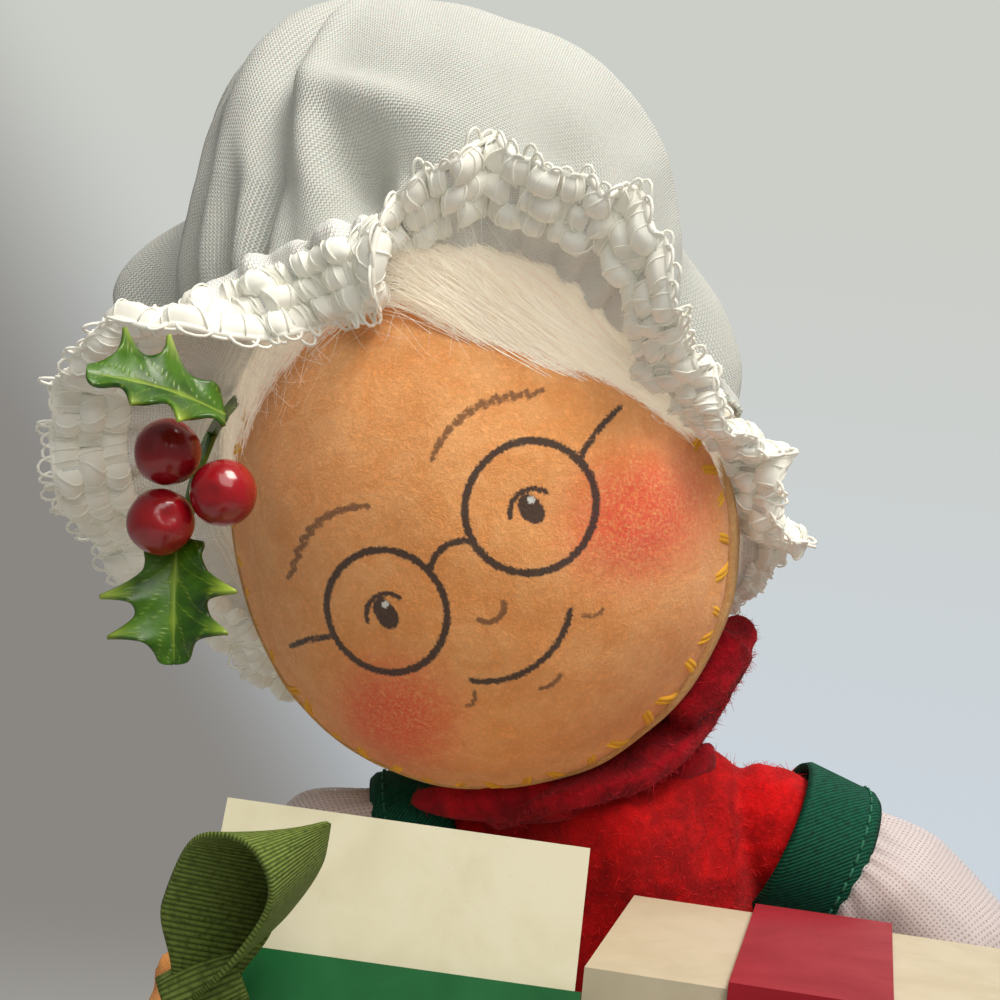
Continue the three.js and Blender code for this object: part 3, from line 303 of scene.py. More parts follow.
def head_level(p, grow):
    """1 on the head's surface and less inside; p is in the head's frame."""
    height = (HEAD_ABOVE if p.z > 0 else HEAD_BELOW) + grow
    narrow = 1 - HEAD_TAPER * max(0, p.z / height)
    return math.hypot(p.x / ((HEAD_HALF_WIDTH + grow) * narrow), p.y / (HEAD_HALF_DEPTH + grow), p.z / height)


def last_place(holds, low, high):
    """How far from low towards high a test still holds, found by halving."""
    for _ in range(22):
        middle = (low + high) / 2
        if holds(middle):
            low = middle
        else:
            high = middle
    return low


def to_head_surface(origin, way, grow):
    """How far from a point inside the head its grown surface lies."""
    start = HEAD_INVERSE @ origin
    turn = HEAD_INVERSE.to_3x3() @ way
    return last_place(lambda far: head_level(start + turn * far, grow) < 1, 0, 110)


def head_out(p, grow):
    """The point of the head's grown surface beyond p, seen from the head's middle."""
    centre = Vector(HEAD_CENTRE)
    way = (p - centre).normalized()
    return centre + way * to_head_surface(centre, way, grow)


# Cap frame: a place round the mouth is a share of a turn, 0 at the doll's left and 0.25 over the forehead

RING_SIDE = Vector((1, 0, 0))
RING_TOP = Vector((0, -math.sin(deg(CAP_RING_LEAN)), math.cos(deg(CAP_RING_LEAN))))
RING_FACE = RING_SIDE.cross(RING_TOP).normalized()


def ring_way(turn):
    return RING_SIDE * math.cos(FULL_TURN * turn) + RING_TOP * math.sin(FULL_TURN * turn)


def ring_point(turn, seat):
    way = ring_way(turn)
    centre = Vector(CAP_RING_CENTRE)
    return centre + way * to_head_surface(centre, way, seat)


def scalp_point(turn, drop, seat):
    """A point over the head, drop mm from the cap's mouth towards the face."""
    centre = Vector(CAP_RING_CENTRE)
    way = (ring_way(turn) * CAP_RING_RADIUS + RING_FACE * drop).normalized()
    return centre + way * to_head_surface(centre, way, seat)


# Meshes


def add_mesh(name, points, faces, material, body, slot, corners=None):
    """A new piece: points in pattern millimetres, and for each face its corners' cloth coordinates."""
    mesh = bpy.data.meshes.new(name)
    mesh.from_pydata([(p + SHIFT) * MM for p in points], [], faces)
    if corners:
        layer = mesh.uv_layers.new(name="cloth")
        for place, corner in zip(layer.data, (c for face in corners for c in face)):
            place.uv = corner
    mesh.validate()
    obj = bpy.data.objects.new(name, mesh)
    bpy.context.scene.collection.objects.link(obj)
    settle(obj, material, body, slot)
    return obj


def settle(obj, material, body, slot):
    """Gives a piece its finish, smooth shading and its body; slot is not used."""
    obj.data.materials.append(material)
    obj.data.polygons.foreach_set("use_smooth", [True] * len(obj.data.polygons))
    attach(obj, body)


def grid(surface, across, along, closed, flat, disc=False):
    """Points, faces and cloth coordinates of surface(u, v), whose flat cloth is flat metres wide and long.

    A disc is cut round instead: u runs round it and v from its rim to its middle.
    """

    def spot(u, v):
        if not disc:
            return flat[0] * u, flat[1] * v
        radius = flat[0] / 2 * (1 - v)
        return radius * math.cos(FULL_TURN * u), radius * math.sin(FULL_TURN * u)

    columns = across if closed else across + 1
    points = [surface(i / across, j / along) for j in range(along + 1) for i in range(columns)]
    faces = []
    corners = []
    for j in range(along):
        for i in range(across):
            k = (i + 1) % columns
            faces.append((j * columns + i, j * columns + k, (j + 1) * columns + k, (j + 1) * columns + i))
            spots = ((i, j), (i + 1, j), (i + 1, j + 1), (i, j + 1))
            corners.append([spot(a / across, b / along) for a, b in spots])
    return points, faces, corners


def cloth(name, surface, across, along, closed, flat, thickness, material, body, slot, disc=False):
    """A sheet of cloth over surface(u, v), with a wall of its own thickness."""
    points, faces, corners = grid(surface, across, along, closed, flat, disc)
    obj = add_mesh(name, points, faces, material, body, slot, corners)
    thicken(obj, thickness)
    return obj


def thicken(obj, thickness, offset=0.0):
    wall = obj.modifiers.new("wall", "SOLIDIFY")
    wall.thickness = thickness * MM
    wall.offset = offset
    wall.use_even_offset = False
    apply_modifiers(obj)


def apply_modifiers(obj):
    bpy.ops.object.select_all(action="DESELECT")
    obj.select_set(True)
    bpy.context.view_layer.objects.active = obj
    for modifier in list(obj.modifiers):
        bpy.ops.object.modifier_apply(modifier=modifier.name)


def tube_into(points, faces, path, radius, sides):
    """Adds a round tube along a path to a mesh in the making, with closed ends."""
    first = len(points)
    across = None
    for i, p in enumerate(path):
        along = (path[min(i + 1, len(path) - 1)] - path[max(i - 1, 0)]).normalized()
        if across is None:
            across = along.orthogonal()
        across = (across - along * across.dot(along)).normalized()
        other = along.cross(across)
        for s in range(sides):
            angle = FULL_TURN * s / sides
            points.append(p + across * radius * math.cos(angle) + other * radius * math.sin(angle))
    for i in range(len(path) - 1):
        for s in range(sides):
            a = first + i * sides + s
            b = first + i * sides + (s + 1) % sides
            faces.append((a, b, b + sides, a + sides))
    last = first + (len(path) - 1) * sides
    faces.append(tuple(range(first + sides - 1, first - 1, -1)))
    faces.append(tuple(range(last, last + sides)))


def hair_into(points, faces, path, width):
    """Adds one hair to a mesh in the making: a flat slip along a path that narrows to a point."""
    first = len(points)
    last = len(path) - 1
    across = (path[1] - path[0]).orthogonal().normalized()
    for i, p in enumerate(path[:-1]):
        along = (path[i + 1] - p).normalized()
        across = (across - along * across.dot(along)).normalized()
        half = across * (width / 2 * (1 - 0.7 * (i / last) ** 2))
        points += [p - half, p + half]
    points.append(path[-1])
    for i in range(last - 1):
        a = first + 2 * i
        faces.append((a, a + 1, a + 3, a + 2))
    end = first + 2 * (last - 1)
    faces.append((end, end + 1, end + 2))


def soften(name, nodes, voxel, steps, material, body, slot):
    """A stuffed piece made over frame solids: one skin round them, with its facets worked smooth."""
    mesh = bpy.data.meshes.new(name)
    build = bmesh.new()
    for node in nodes:
        build.from_mesh(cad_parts[node].data)
    bmesh.ops.remove_doubles(build, verts=build.verts, dist=1e-6)
    build.to_mesh(mesh)
    build.free()
    obj = bpy.data.objects.new(name, mesh)
    bpy.context.scene.collection.objects.link(obj)
    skin = obj.modifiers.new("skin", "REMESH")
    skin.mode = "VOXEL"
    skin.voxel_size = voxel * MM
    even = obj.modifiers.new("even", "SMOOTH")
    even.factor = 0.5
    even.iterations = steps
    apply_modifiers(obj)
    obj.data.materials.clear()
    settle(obj, material, body, slot)
    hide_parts(*nodes)
    return obj


def fuzz(name, skin, count, length, width, material, body, slot, keep=None):
    """Loose fibres standing off a skin: short curved slips, spread evenly over its outer faces."""
    draw = random.Random(name)
    mesh = skin.data
    spots = []
    total = 0.0
    for face in mesh.polygons:
        if keep is None or keep(face):
            total += face.area
            spots.append((total, face))
    points, faces = [], []
    place = 0
    step = total / count
    reach = draw.random() * step
    for _ in range(count):
        while place < len(spots) - 1 and spots[place][0] < reach:
            place += 1
        face = spots[place][1]
        reach += step
        weights = [draw.random() for _ in face.vertices]
        weighted = (mesh.vertices[v].co * w for v, w in zip(face.vertices, weights))
        root = sum(weighted, Vector()) / sum(weights) / MM - SHIFT
        lay = Vector([draw.uniform(-1, 1) for _ in range(3)]).cross(face.normal).normalized()
        rise = draw.uniform(0.08, 0.6)
        way = (lay * (1 - rise) + face.normal * rise).normalized()
        curl = Vector([draw.uniform(-1, 1) for _ in range(3)])
        far = length * draw.uniform(0.4, 1.3)
        middle = root + way * far * 0.5 + curl * far * 0.12
        tip = root + way * far + curl * far * 0.4
        across = way.cross(curl).normalized() * width / 2
        first = len(points)
        points += [root - across, root + across, middle - across, middle + across, tip]
        faces += [(first, first + 1, first + 3, first + 2), (first + 2, first + 3, first + 4)]
    return add_mesh(name, points, faces, material, body, slot)


# Materials


def feed(tree, socket, value):
    """Gives a socket a link or a plain value."""
    if isinstance(value, bpy.types.NodeSocket):
        tree.links.new(value, socket)
    else:
        socket.default_value = value


def put(tree, kind, sockets=None, **settings):
    """A new node: settings are its own, and each socket gets a value or a link."""
    node = tree.nodes.new(kind)
    for key, value in settings.items():
        setattr(node, key, value)
    for key, value in (sockets or {}).items():
        feed(tree, node.inputs[key], value)
    return node


def maths(tree, operation, first, second=0.0):
    return put(tree, "ShaderNodeMath", {0: first, 1: second}, operation=operation).outputs[0]


def times(tree, first, second):
    return maths(tree, "MULTIPLY", first, second)


def plus(tree, first, second):
    return maths(tree, "ADD", first, second)


def mix(tree, factor, first, second, mode="MIX"):
    node = put(tree, "ShaderNodeMix", data_type="RGBA", blend_type=mode)
    for index, value in ((0, factor), (6, first), (7, second)):
        feed(tree, node.inputs[index], value)
    return node.outputs[2]


def ramp(tree, value, low, high):
    node = put(tree, "ShaderNodeMapRange", {"Value": value, "From Min": low, "From Max": high})
    node.interpolation_type = "SMOOTHSTEP"
    return node.outputs[0]


def scattered(tree, where, scale, detail=4.0, rough=0.6, distort=0.0):
    sockets = {"Vector": where, "Scale": scale, "Detail": detail, "Roughness": rough, "Distortion": distort}
    return put(tree, "ShaderNodeTexNoise", sockets).outputs["Fac"]


def group(name, inputs, outputs):
    """An empty node group with its inputs and outputs: name, socket kind and default."""
    tree = bpy.data.node_groups.new(name, "ShaderNodeTree")
    for label, kind, default in inputs:
        socket = tree.interface.new_socket(label, in_out="INPUT", socket_type=kind)
        if default is not None:
            socket.default_value = default
    for label, kind in outputs:
        tree.interface.new_socket(label, in_out="OUTPUT", socket_type=kind)
    return tree, tree.nodes.new("NodeGroupInput").outputs, tree.nodes.new("NodeGroupOutput").inputs


def finish_group(tree, ends, values):
    for label, value in values.items():
        tree.links.new(value, ends[label])
    return tree


NUMBER = "NodeSocketFloat"
COLOUR = "NodeSocketColor"
VECTOR = "NodeSocketVector"


def felt_group():
    """Matted wool: a soft mottle, paler and darker fibres, and their fine relief."""
    tree, start, ends = group(
        "matted wool",
        [
            ("Place", VECTOR, None),
            ("Colour", COLOUR, None),
            ("Shade", COLOUR, None),
            ("Fibre", NUMBER, 2200.0),
        ],
        [("Colour", COLOUR), ("Height", NUMBER)],
    )
    fibres = scattered(tree, start["Place"], start["Fibre"], 5, 0.7, 1.2)
    clumps = scattered(tree, start["Place"], times(tree, start["Fibre"], 0.18), 4, 0.6, 0.6)
    mottle = scattered(tree, start["Place"], times(tree, start["Fibre"], 0.05), 3, 0.5)
    worn = plus(tree, times(tree, clumps, 0.55), times(tree, mottle, 0.45))
    toned = mix(tree, ramp(tree, worn, 0.36, 0.66), start["Shade"], start["Colour"])
    pale = mix(tree, 1.0, toned, (1.35, 1.35, 1.35, 1), "MULTIPLY")
    colour = mix(tree, ramp(tree, fibres, 0.45, 0.75), toned, pale)
    height = plus(tree, times(tree, fibres, 0.6), times(tree, clumps, 0.8))
    return finish_group(tree, ends, {"Colour": colour, "Height": height})


def threads_group():
    """Plain weave on cloth coordinates: thread relief, and the holes between threads."""
    tree, start, ends = group(
        "plain weave",
        [("Cloth", VECTOR, None), ("Pitch", NUMBER, 0.00036), ("Thread", NUMBER, 0.5)],
        [("Height", NUMBER), ("Hole", NUMBER), ("Tone", NUMBER)],
    )
    spread = put(tree, "ShaderNodeSeparateXYZ", {0: start["Cloth"]}).outputs
    wander = scattered(tree, start["Cloth"], 700.0, 2)
    ways = []
    cells = []
    for axis in (0, 1):
        place = maths(tree, "DIVIDE", spread[axis], start["Pitch"])
        place = plus(tree, place, times(tree, wander, 0.35))
        cells.append(maths(tree, "FLOOR", place))
        ways.append(maths(tree, "ABSOLUTE", maths(tree, "SINE", times(tree, place, math.pi))))
    parity = maths(tree, "MODULO", plus(tree, cells[0], cells[1]), 2.0)
    parity = maths(tree, "ABSOLUTE", parity)
    over = times(tree, ways[0], parity)
    under = times(tree, ways[1], maths(tree, "SUBTRACT", 1.0, parity))
    height = plus(tree, over, under)
    gaps = [ramp(tree, maths(tree, "SUBTRACT", way, start["Thread"]), 0.25, -0.05) for way in ways]
    hole = times(tree, gaps[0], gaps[1])
    tone = scattered(tree, start["Cloth"], 2600.0, 3)
    return finish_group(tree, ends, {"Height": height, "Hole": hole, "Tone": tone})


def ribs_group():
    """Ribs across cloth coordinates, straight for grosgrain or slanted for twill."""
    tree, start, ends = group(
        "ribs",
        [("Cloth", VECTOR, None), ("Pitch", NUMBER, 0.0005), ("Slant", NUMBER, 0.0)],
        [("Height", NUMBER)],
    )
    spread = put(tree, "ShaderNodeSeparateXYZ", {0: start["Cloth"]}).outputs
    place = plus(tree, spread[0], times(tree, spread[1], start["Slant"]))
    place = maths(tree, "DIVIDE", place, start["Pitch"])
    height = maths(tree, "ABSOLUTE", maths(tree, "SINE", times(tree, place, math.pi)))
    return finish_group(tree, ends, {"Height": height})


def wear_group():
    """Fine specks and soft smears that change a smooth surface's colour and gloss a little."""
    tree, start, ends = group(
        "handling wear",
        [("Place", VECTOR, None), ("Scale", NUMBER, 120.0)],
        [("Smear", NUMBER), ("Speck", NUMBER)],
    )
    smear = ramp(tree, scattered(tree, start["Place"], start["Scale"], 5, 0.6, 0.4), 0.35, 0.7)
    fine = times(tree, start["Scale"], 30.0)
    speck = ramp(tree, scattered(tree, start["Place"], fine, 2, 0.5), 0.66, 0.74)
    return finish_group(tree, ends, {"Smear": smear, "Speck": speck})


GROUPS = {}


def effect(tree, name, sockets):
    makers = {"felt": felt_group, "threads": threads_group, "ribs": ribs_group, "wear": wear_group}
    if name not in GROUPS:
        GROUPS[name] = makers[name]()
    node = put(tree, "ShaderNodeGroup")
    node.node_tree = GROUPS[name]
    for key, value in sockets.items():
        feed(tree, node.inputs[key], value)
    return node.outputs


def rgb(text):
    """A colour written as the eye sees it, turned to Blender's linear values."""
    values = [int(text[i : i + 2], 16) / 255 for i in (0, 2, 4)]
    return tuple(v / 12.92 if v <= 0.04045 else ((v + 0.055) / 1.055) ** 2.4 for v in values) + (1.0,)


def surface(name, **constants):
    """A material with one Principled BSDF, whose plain sockets are given by name."""
    material = bpy.data.materials.new(name)
    material.use_nodes = True
    shader = material.node_tree.nodes["Principled BSDF"]
    for key, value in constants.items():
        shader.inputs[key.replace("_", " ").title().replace("Ior", "IOR")].default_value = value
    return material, material.node_tree, shader


def wire_up(tree, shader, colour=None, roughness=None, alpha=None, height=None, depth=0.0001, strength=0.6):
    for key, value in (("Base Color", colour), ("Roughness", roughness), ("Alpha", alpha)):
        if value is not None:
            feed(tree, shader.inputs[key], value)
    if height is not None:
        bump = put(tree, "ShaderNodeBump", {"Height": height, "Distance": depth, "Strength": strength})
        tree.links.new(bump.outputs[0], shader.inputs["Normal"])


def object_place(tree):
    return put(tree, "ShaderNodeTexCoord").outputs["Object"]


def cloth_place(tree):
    return put(tree, "ShaderNodeUVMap", uv_map="cloth").outputs[0]


def felt_material(name, colour, shade):
    material, tree, shader = surface(name, roughness=0.95, specular_ior_level=0.2, sheen_weight=0.06)
    wool = effect(tree, "felt", {"Place": object_place(tree), "Colour": colour, "Shade": shade})
    wire_up(tree, shader, wool["Colour"], height=wool["Height"], depth=0.0004, strength=0.7)
    return material


def fibre_material(name, colour, glow=0.0, spread=0.28):
    """Loose fibres, each a little paler or darker; glow stands for the light that fine fibres pass on."""
    material, tree, shader = surface(name, roughness=0.9, sheen_weight=0.1, emission_strength=glow)
    shader.inputs["Emission Color"].default_value = colour
    tone = put(tree, "ShaderNodeNewGeometry").outputs["Random Per Island"]
    dark = tuple((1 - spread) * c for c in colour[:3]) + (1.0,)
    pale = tuple(min(1, (1 + spread / 2) * c) for c in colour[:3]) + (1.0,)
    wire_up(tree, shader, mix(tree, tone, dark, pale))
    return material


def face_material(name, colours):
    """Face felt with blush and painted lines: each line is a distance field kept on the felt's own points."""
    material, tree, shader = surface(name, roughness=0.95, sheen_weight=0.25, sheen_roughness=0.6)
    place = object_place(tree)
    wool = effect(tree, "felt", {"Place": place, "Colour": colours.face, "Shade": colours.face_shade})
    grain = scattered(tree, place, 3000.0, 3, 0.7)
    blush = put(tree, "ShaderNodeAttribute", attribute_name="blush").outputs["Fac"]
    blush = times(tree, blush, ramp(tree, grain, 0.2, 0.62))
    colour = mix(tree, blush, wool["Colour"], colours.blush)
    paints = (("brown_line", colours.brow), ("ink_line", colours.ink), ("light_line", (0.85, 0.85, 0.82, 1)))
    for line, paint in paints:
        away = put(tree, "ShaderNodeAttribute", attribute_name=line).outputs["Fac"]
        ragged = plus(tree, away, times(tree, maths(tree, "SUBTRACT", grain, 0.5), 0.7))
        colour = mix(tree, times(tree, ramp(tree, ragged, 0.1, -0.12), 0.93), colour, paint)
    wire_up(tree, shader, colour, height=wool["Height"], depth=0.0004, strength=0.7)
    return material


def cotton_material(name, colour, shade):
    material, tree, shader = surface(name, roughness=0.9, sheen_weight=0.15, subsurface_weight=0.08)
    shader.inputs["Subsurface Scale"].default_value = 0.001
    weave = effect(tree, "threads", {"Cloth": cloth_place(tree), "Pitch": 0.00024})
    # The holes between threads are painted towards the shade colour: painted shade in the gaps of the weave;
    # the next mix varies the tone at random
    toned = mix(tree, times(tree, weave["Hole"], 0.75), colour, shade)
    toned = mix(tree, times(tree, ramp(tree, weave["Tone"], 0.4, 0.7), 0.15), toned, shade)
    wire_up(tree, shader, toned, height=weave["Height"], depth=0.00015, strength=0.6)
    return material


def organza_material(name, colour):
    material, tree, shader = surface(name, roughness=0.6, sheen_weight=0.3)
    weave = effect(tree, "threads", {"Cloth": cloth_place(tree), "Pitch": 0.0005, "Thread": 0.5})
    cover = maths(tree, "SUBTRACT", 0.72, times(tree, weave["Hole"], 0.5))
    wire_up(tree, shader, colour, alpha=cover, height=weave["Height"], depth=0.00005, strength=0.4)
    return material


def ribbed_material(name, colour, shade, pitch, slant=0.0):
    material, tree, shader = surface(name, roughness=0.7, specular_ior_level=0.2)
    where = cloth_place(tree)
    ribs = effect(tree, "ribs", {"Cloth": where, "Pitch": pitch, "Slant": slant})
    tone = scattered(tree, where, 1500.0, 3)
    # Rib valleys take the shade colour: painted shade between the ribs, with the rib tops varied by a random
    # tone
    mixed = times(tree, ribs["Height"], ramp(tree, tone, 0.2, 0.6))
    wire_up(tree, shader, mix(tree, mixed, shade, colour), height=ribs["Height"], strength=0.8)
    return material


def smooth_material(name, colour, shade, roughness, scale=120.0, looks=None):
    """Card, foil ribbon, berries and leather: smooth, with handling wear in colour and gloss."""
    material, tree, shader = surface(name, **(looks or {}))
    wear = effect(tree, "wear", {"Place": object_place(tree), "Scale": scale})
    colour = mix(tree, times(tree, wear["Smear"], 0.5), colour, shade)
    colour = mix(tree, times(tree, wear["Speck"], 0.4), colour, shade)
    gloss = plus(tree, roughness, times(tree, wear["Smear"], 0.12))
    wire_up(tree, shader, colour, gloss, height=wear["Smear"], depth=0.00003, strength=0.3)
    return material


def leaf_material(name, colours):
    """A holly leaf: dark and glossy, paler along its veins and yellow-green at its spines."""
    material, tree, shader = surface(name, coat_weight=0.12, coat_roughness=0.2)
    place = object_place(tree)
    patch = scattered(tree, place, 260.0, 4, 0.6)
    vein = put(tree, "ShaderNodeAttribute", attribute_name="vein").outputs["Fac"]
    tip = put(tree, "ShaderNodeAttribute", attribute_name="tip").outputs["Fac"]
    colour = mix(tree, ramp(tree, patch, 0.3, 0.7), colours.leaf_dark, colours.leaf)
    colour = mix(tree, times(tree, tip, 0.85), colour, colours.leaf_tip)
    colour = mix(tree, times(tree, vein, 0.55), colour, colours.leaf_tip)
    gloss = plus(tree, 0.28, times(tree, patch, 0.2))
    wire_up(tree, shader, colour, gloss, height=plus(tree, patch, vein), depth=0.0002, strength=0.5)
    return material


MATERIALS = {}


def finishes(colours):
    """Each finish: the function that makes it, and what that function is told after its name."""
    foil = {"specular_ior_level": 0.25}
    return {
        "face felt": (face_material, colours),
        "tan felt": (felt_material, rgb("E6B981"), rgb("D8A468")),
        "skin felt": (felt_material, colours.face, colours.face_shade),
        "red felt": (felt_material, colours.red_felt, rgb("960308")),
        "crimson felt": (felt_material, colours.crimson_felt, rgb("6E0410")),
        "black felt": (felt_material, rgb("1B1714"), rgb("0C0A09")),
        "fibre fill": (felt_material, rgb("F2F0EA"), rgb("D9D6CE")),
        "face fibre": (fibre_material, rgb("FBC084")),
        "red fibre": (fibre_material, rgb("D6100E")),
        "crimson fibre": (fibre_material, rgb("BE1226")),
        "mohair": (fibre_material, rgb("FFF2E2"), 0.15, 0.2),
        "lace yarn": (fibre_material, rgb("FFFDF2"), 0.04, 0.07),
        "green thread": (fibre_material, rgb("1E7656")),
        "golden thread": (fibre_material, rgb("FFB52E")),
        "cap cotton": (cotton_material, rgb("DFE1DB"), rgb("A6A8A1")),
        # The frill is the cap's own cotton painted lighter than the crown: painted light on its shaded
        # underside
        "frill cotton": (cotton_material, rgb("FBFBF6"), rgb("D4D5CC")),
        "stocking": (cotton_material, rgb("F0ECE4"), rgb("CFC8BC")),
        "organza": (organza_material, rgb("E6DADA")),
        "green twill": (ribbed_material, rgb("045A42"), rgb("023226"), 0.0005, 1.0),
        "olive grosgrain": (ribbed_material, rgb("7C9044"), rgb("44531F"), 0.0005),
        "leaf": (leaf_material, colours),
        "card": (smooth_material, rgb("DAD4B8"), rgb("C8C09E"), 0.6),
        # The left carton is the same cream card as the right one, painted darker: painted shade
        "grey card": (smooth_material, rgb("CFC3A8"), rgb("BBAD8E"), 0.6),
        "card inside": (smooth_material, rgb("C6B28C"), rgb("A8926B"), 0.8),
        "sole leather": (smooth_material, rgb("2E2622"), rgb("191412"), 0.7),
        "green foil": (smooth_material, rgb("04602A"), rgb("034620"), 0.5, 120.0, foil),
        "red foil": (smooth_material, rgb("A01A28"), rgb("801622"), 0.5, 120.0, foil),
        "wire": (smooth_material, rgb("9A9C9E"), rgb("6F7173"), 0.35, 120.0, {"metallic": 1.0}),
        "berry": (
            smooth_material,
            rgb("A8101C"),
            rgb("6E0A12"),
            0.2,
            300.0,
            {"coat_weight": 0.5, "coat_roughness": 0.08},
        ),
    }


def finish_for(name):
    """The named finish, made on its first use."""
    if name not in MATERIALS:
        maker, *told = finishes(bpy.context.scene.doll_colours)[name]
        MATERIALS[name] = maker(name, *told)
    return MATERIALS[name]


def colour_setting(label, text, says):
    return bpy.props.FloatVectorProperty(
        name=label, description=says, subtype="COLOR", size=4, min=0, max=1, default=rgb(text)
    )


def count_setting(label, says, usual, least, most):
    return bpy.props.IntProperty(name=label, description=says, default=usual, min=least, max=most)


class DollColours(bpy.types.PropertyGroup):
    """Colours of the doll that a maker would change."""

    face: colour_setting("Face felt", "F8B270", "Peach felt of the face, arms and mitts")
    face_shade: colour_setting("Face felt shade", "EE9C54", "Darker wool in the face felt")
    blush: colour_setting("Blush", "F04A32", "Rubbed colour on the cheeks")
    ink: colour_setting("Painted line", "1C1A1E", "Spectacles, eyes and mouth")
    brow: colour_setting("Brow", "8A5A34", "Brows and nose")
    red_felt: colour_setting("Dress felt", "D20A0E", "Felt of the dress")
    crimson_felt: colour_setting("Collar felt", "B30A1E", "Felt of the collar")
    leaf: colour_setting("Leaf", "4A7A0C", "Holly leaf")
    leaf_dark: colour_setting("Leaf shade", "1E4604", "Dark parts of the holly leaf")
    leaf_tip: colour_setting("Leaf spines", "B4CC4E", "Spines and veins of the holly leaf")


class DollSizes(bpy.types.PropertyGroup):
    """Counts and lengths of the doll's sewing that a maker would change."""

    pleats: count_setting("Ruffle pleats", "Pleats round the cap", 48, 8, 90)
    pleat_depth: bpy.props.FloatProperty(
        name="Pleat depth", description="Height of a pleat at the edge, in mm", default=0.8, min=0, max=4
    )
    hairs: count_setting("Hairs", "Strands of mohair", 7000, 100, 9000)
    fuzz: count_setting("Felt fuzz", "Fibres on the face", 38000, 100, 40000)


def sizes():
    return bpy.context.scene.doll_sizes


# Head


def head_direction(angle, azimuth):
    """From the head's middle: angle 0 looks out of the face, and half a turn out of the back."""
    flat = math.sin(angle)
    local = Vector((flat * math.cos(azimuth), -math.cos(angle), flat * math.sin(azimuth)))
    return (HEAD_FRAME.to_3x3() @ local).normalized()


def head_at(angle, azimuth, grow=0.0):
    centre = Vector(HEAD_CENTRE)
    way = head_direction(angle, azimuth)
    return centre + way * to_head_surface(centre, way, grow)


def seam_angle(azimuth, forward):
    """How far round from the face's middle the surface passes a plane in front of the head's centre."""
    return last_place(lambda angle: (HEAD_INVERSE @ head_at(angle, azimuth)).y < -forward, 0, math.pi)


# The face, in mm from the head's centre, x to the doll's left and z up: round spectacles and a calm smile
SPECTACLE_X = 8.3
SPECTACLE_Z = 0.6
SPECTACLE_RADIUS = 5.9
CHEEKS = ((-14.8, -8.2), (15.4, -6))
CHEEK_RADIUS = 9.4


def ring_line(x, z, across, up, start=0, end=360, steps=40):
    angles = [deg(lerp(start, end, i / steps)) for i in range(steps + 1)]
    return [(x + across * math.cos(a), z + up * math.sin(a)) for a in angles]


def face_lines():
    """Painted lines as points and half widths, by paint."""
    ink, brown, light = [], [], []
    for side in (-1, 1):
        x = side * SPECTACLE_X
        ink.append((ring_line(x, SPECTACLE_Z, SPECTACLE_RADIUS, SPECTACLE_RADIUS), 0.36))
        temple = ((SPECTACLE_RADIUS, SPECTACLE_Z + 1), (8.6, 2.6), (11.2, 3.2))
        ink.append(([(x + side * away, z) for away, z in temple], 0.3))
        ink.append((ring_line(x, SPECTACLE_Z - 0.2, 0.5, 1.0), 0.55))
        ink.append((ring_line(x, SPECTACLE_Z - 0.4, 2.1, 2.0, 20, 160, 14), 0.26))
        light.append((ring_line(x + 0.5, SPECTACLE_Z + 0.5, 0.14, 0.14, steps=8), 0.22))
        for i in range(9):
            t = i / 8
            root = (x + side * lerp(-4.6, 5.2, t), 8.6 + 2.2 * math.sin(math.pi * lerp(0.12, 0.95, t)))
            brown.append(([root, (root[0] + side * 1.5, root[1] + lerp(1.0, -0.3, t))], 0.26))
        start = 200 if side > 0 else 250
        brown.append((ring_line(side * 7.4, -9.6, 1.2, 1.4, start, start + 90, 8), 0.2))
    ink.append((ring_line(0, SPECTACLE_Z - 0.9, 2.9, 2.6, 35, 145, 16), 0.3))
    brown.append((ring_line(0, -4.6, 1.5, 1.3, 200, 340, 14), 0.28))
    ink.append((ring_line(0, -4.4, 7.6, 7.0, 222, 318, 30), 0.3))
    brown.append((ring_line(0, -11.0, 2.6, 2.8, 245, 295, 10), 0.22))
    return {"ink_line": ink, "brown_line": brown, "light_line": light}


def line_distance(x, z, lines, most):
    """Distance to the nearest painted edge, in mm, and at most most; below 0 within a line."""
    best = most
    for path, half in lines:
        for (ax, az), (bx, bz) in zip(path, path[1:]):
            beside = min(ax, bx) - most > x or max(ax, bx) + most < x
            if beside or min(az, bz) - most > z or max(az, bz) + most < z:
                continue
            span = (bx - ax) ** 2 + (bz - az) ** 2
            t = 0 if span == 0 else min(1, max(0, ((x - ax) * (bx - ax) + (z - az) * (bz - az)) / span))
            best = min(best, math.hypot(x - lerp(ax, bx, t), z - lerp(az, bz, t)) - half)
    return best


def paint_face(obj):
    """Stores the painted lines and the blush on the face felt's points."""
    lines = face_lines()
    spots = [HEAD_INVERSE @ (v.co / MM - SHIFT) for v in obj.data.vertices]
    for name, paths in lines.items():
        layer = obj.data.attributes.new(name, "FLOAT", "POINT")
        layer.data.foreach_set("value", [line_distance(p.x, p.z, paths, 1.5) for p in spots])
    layer = obj.data.attributes.new("blush", "FLOAT", "POINT")
    values = []
    for p in spots:
        away = min(math.hypot((p.x - x) / 1.1, p.z - z) for x, z in CHEEKS)
        values.append(0.9 * smooth(away, CHEEK_RADIUS, 1.5))
    layer.data.foreach_set("value", values)


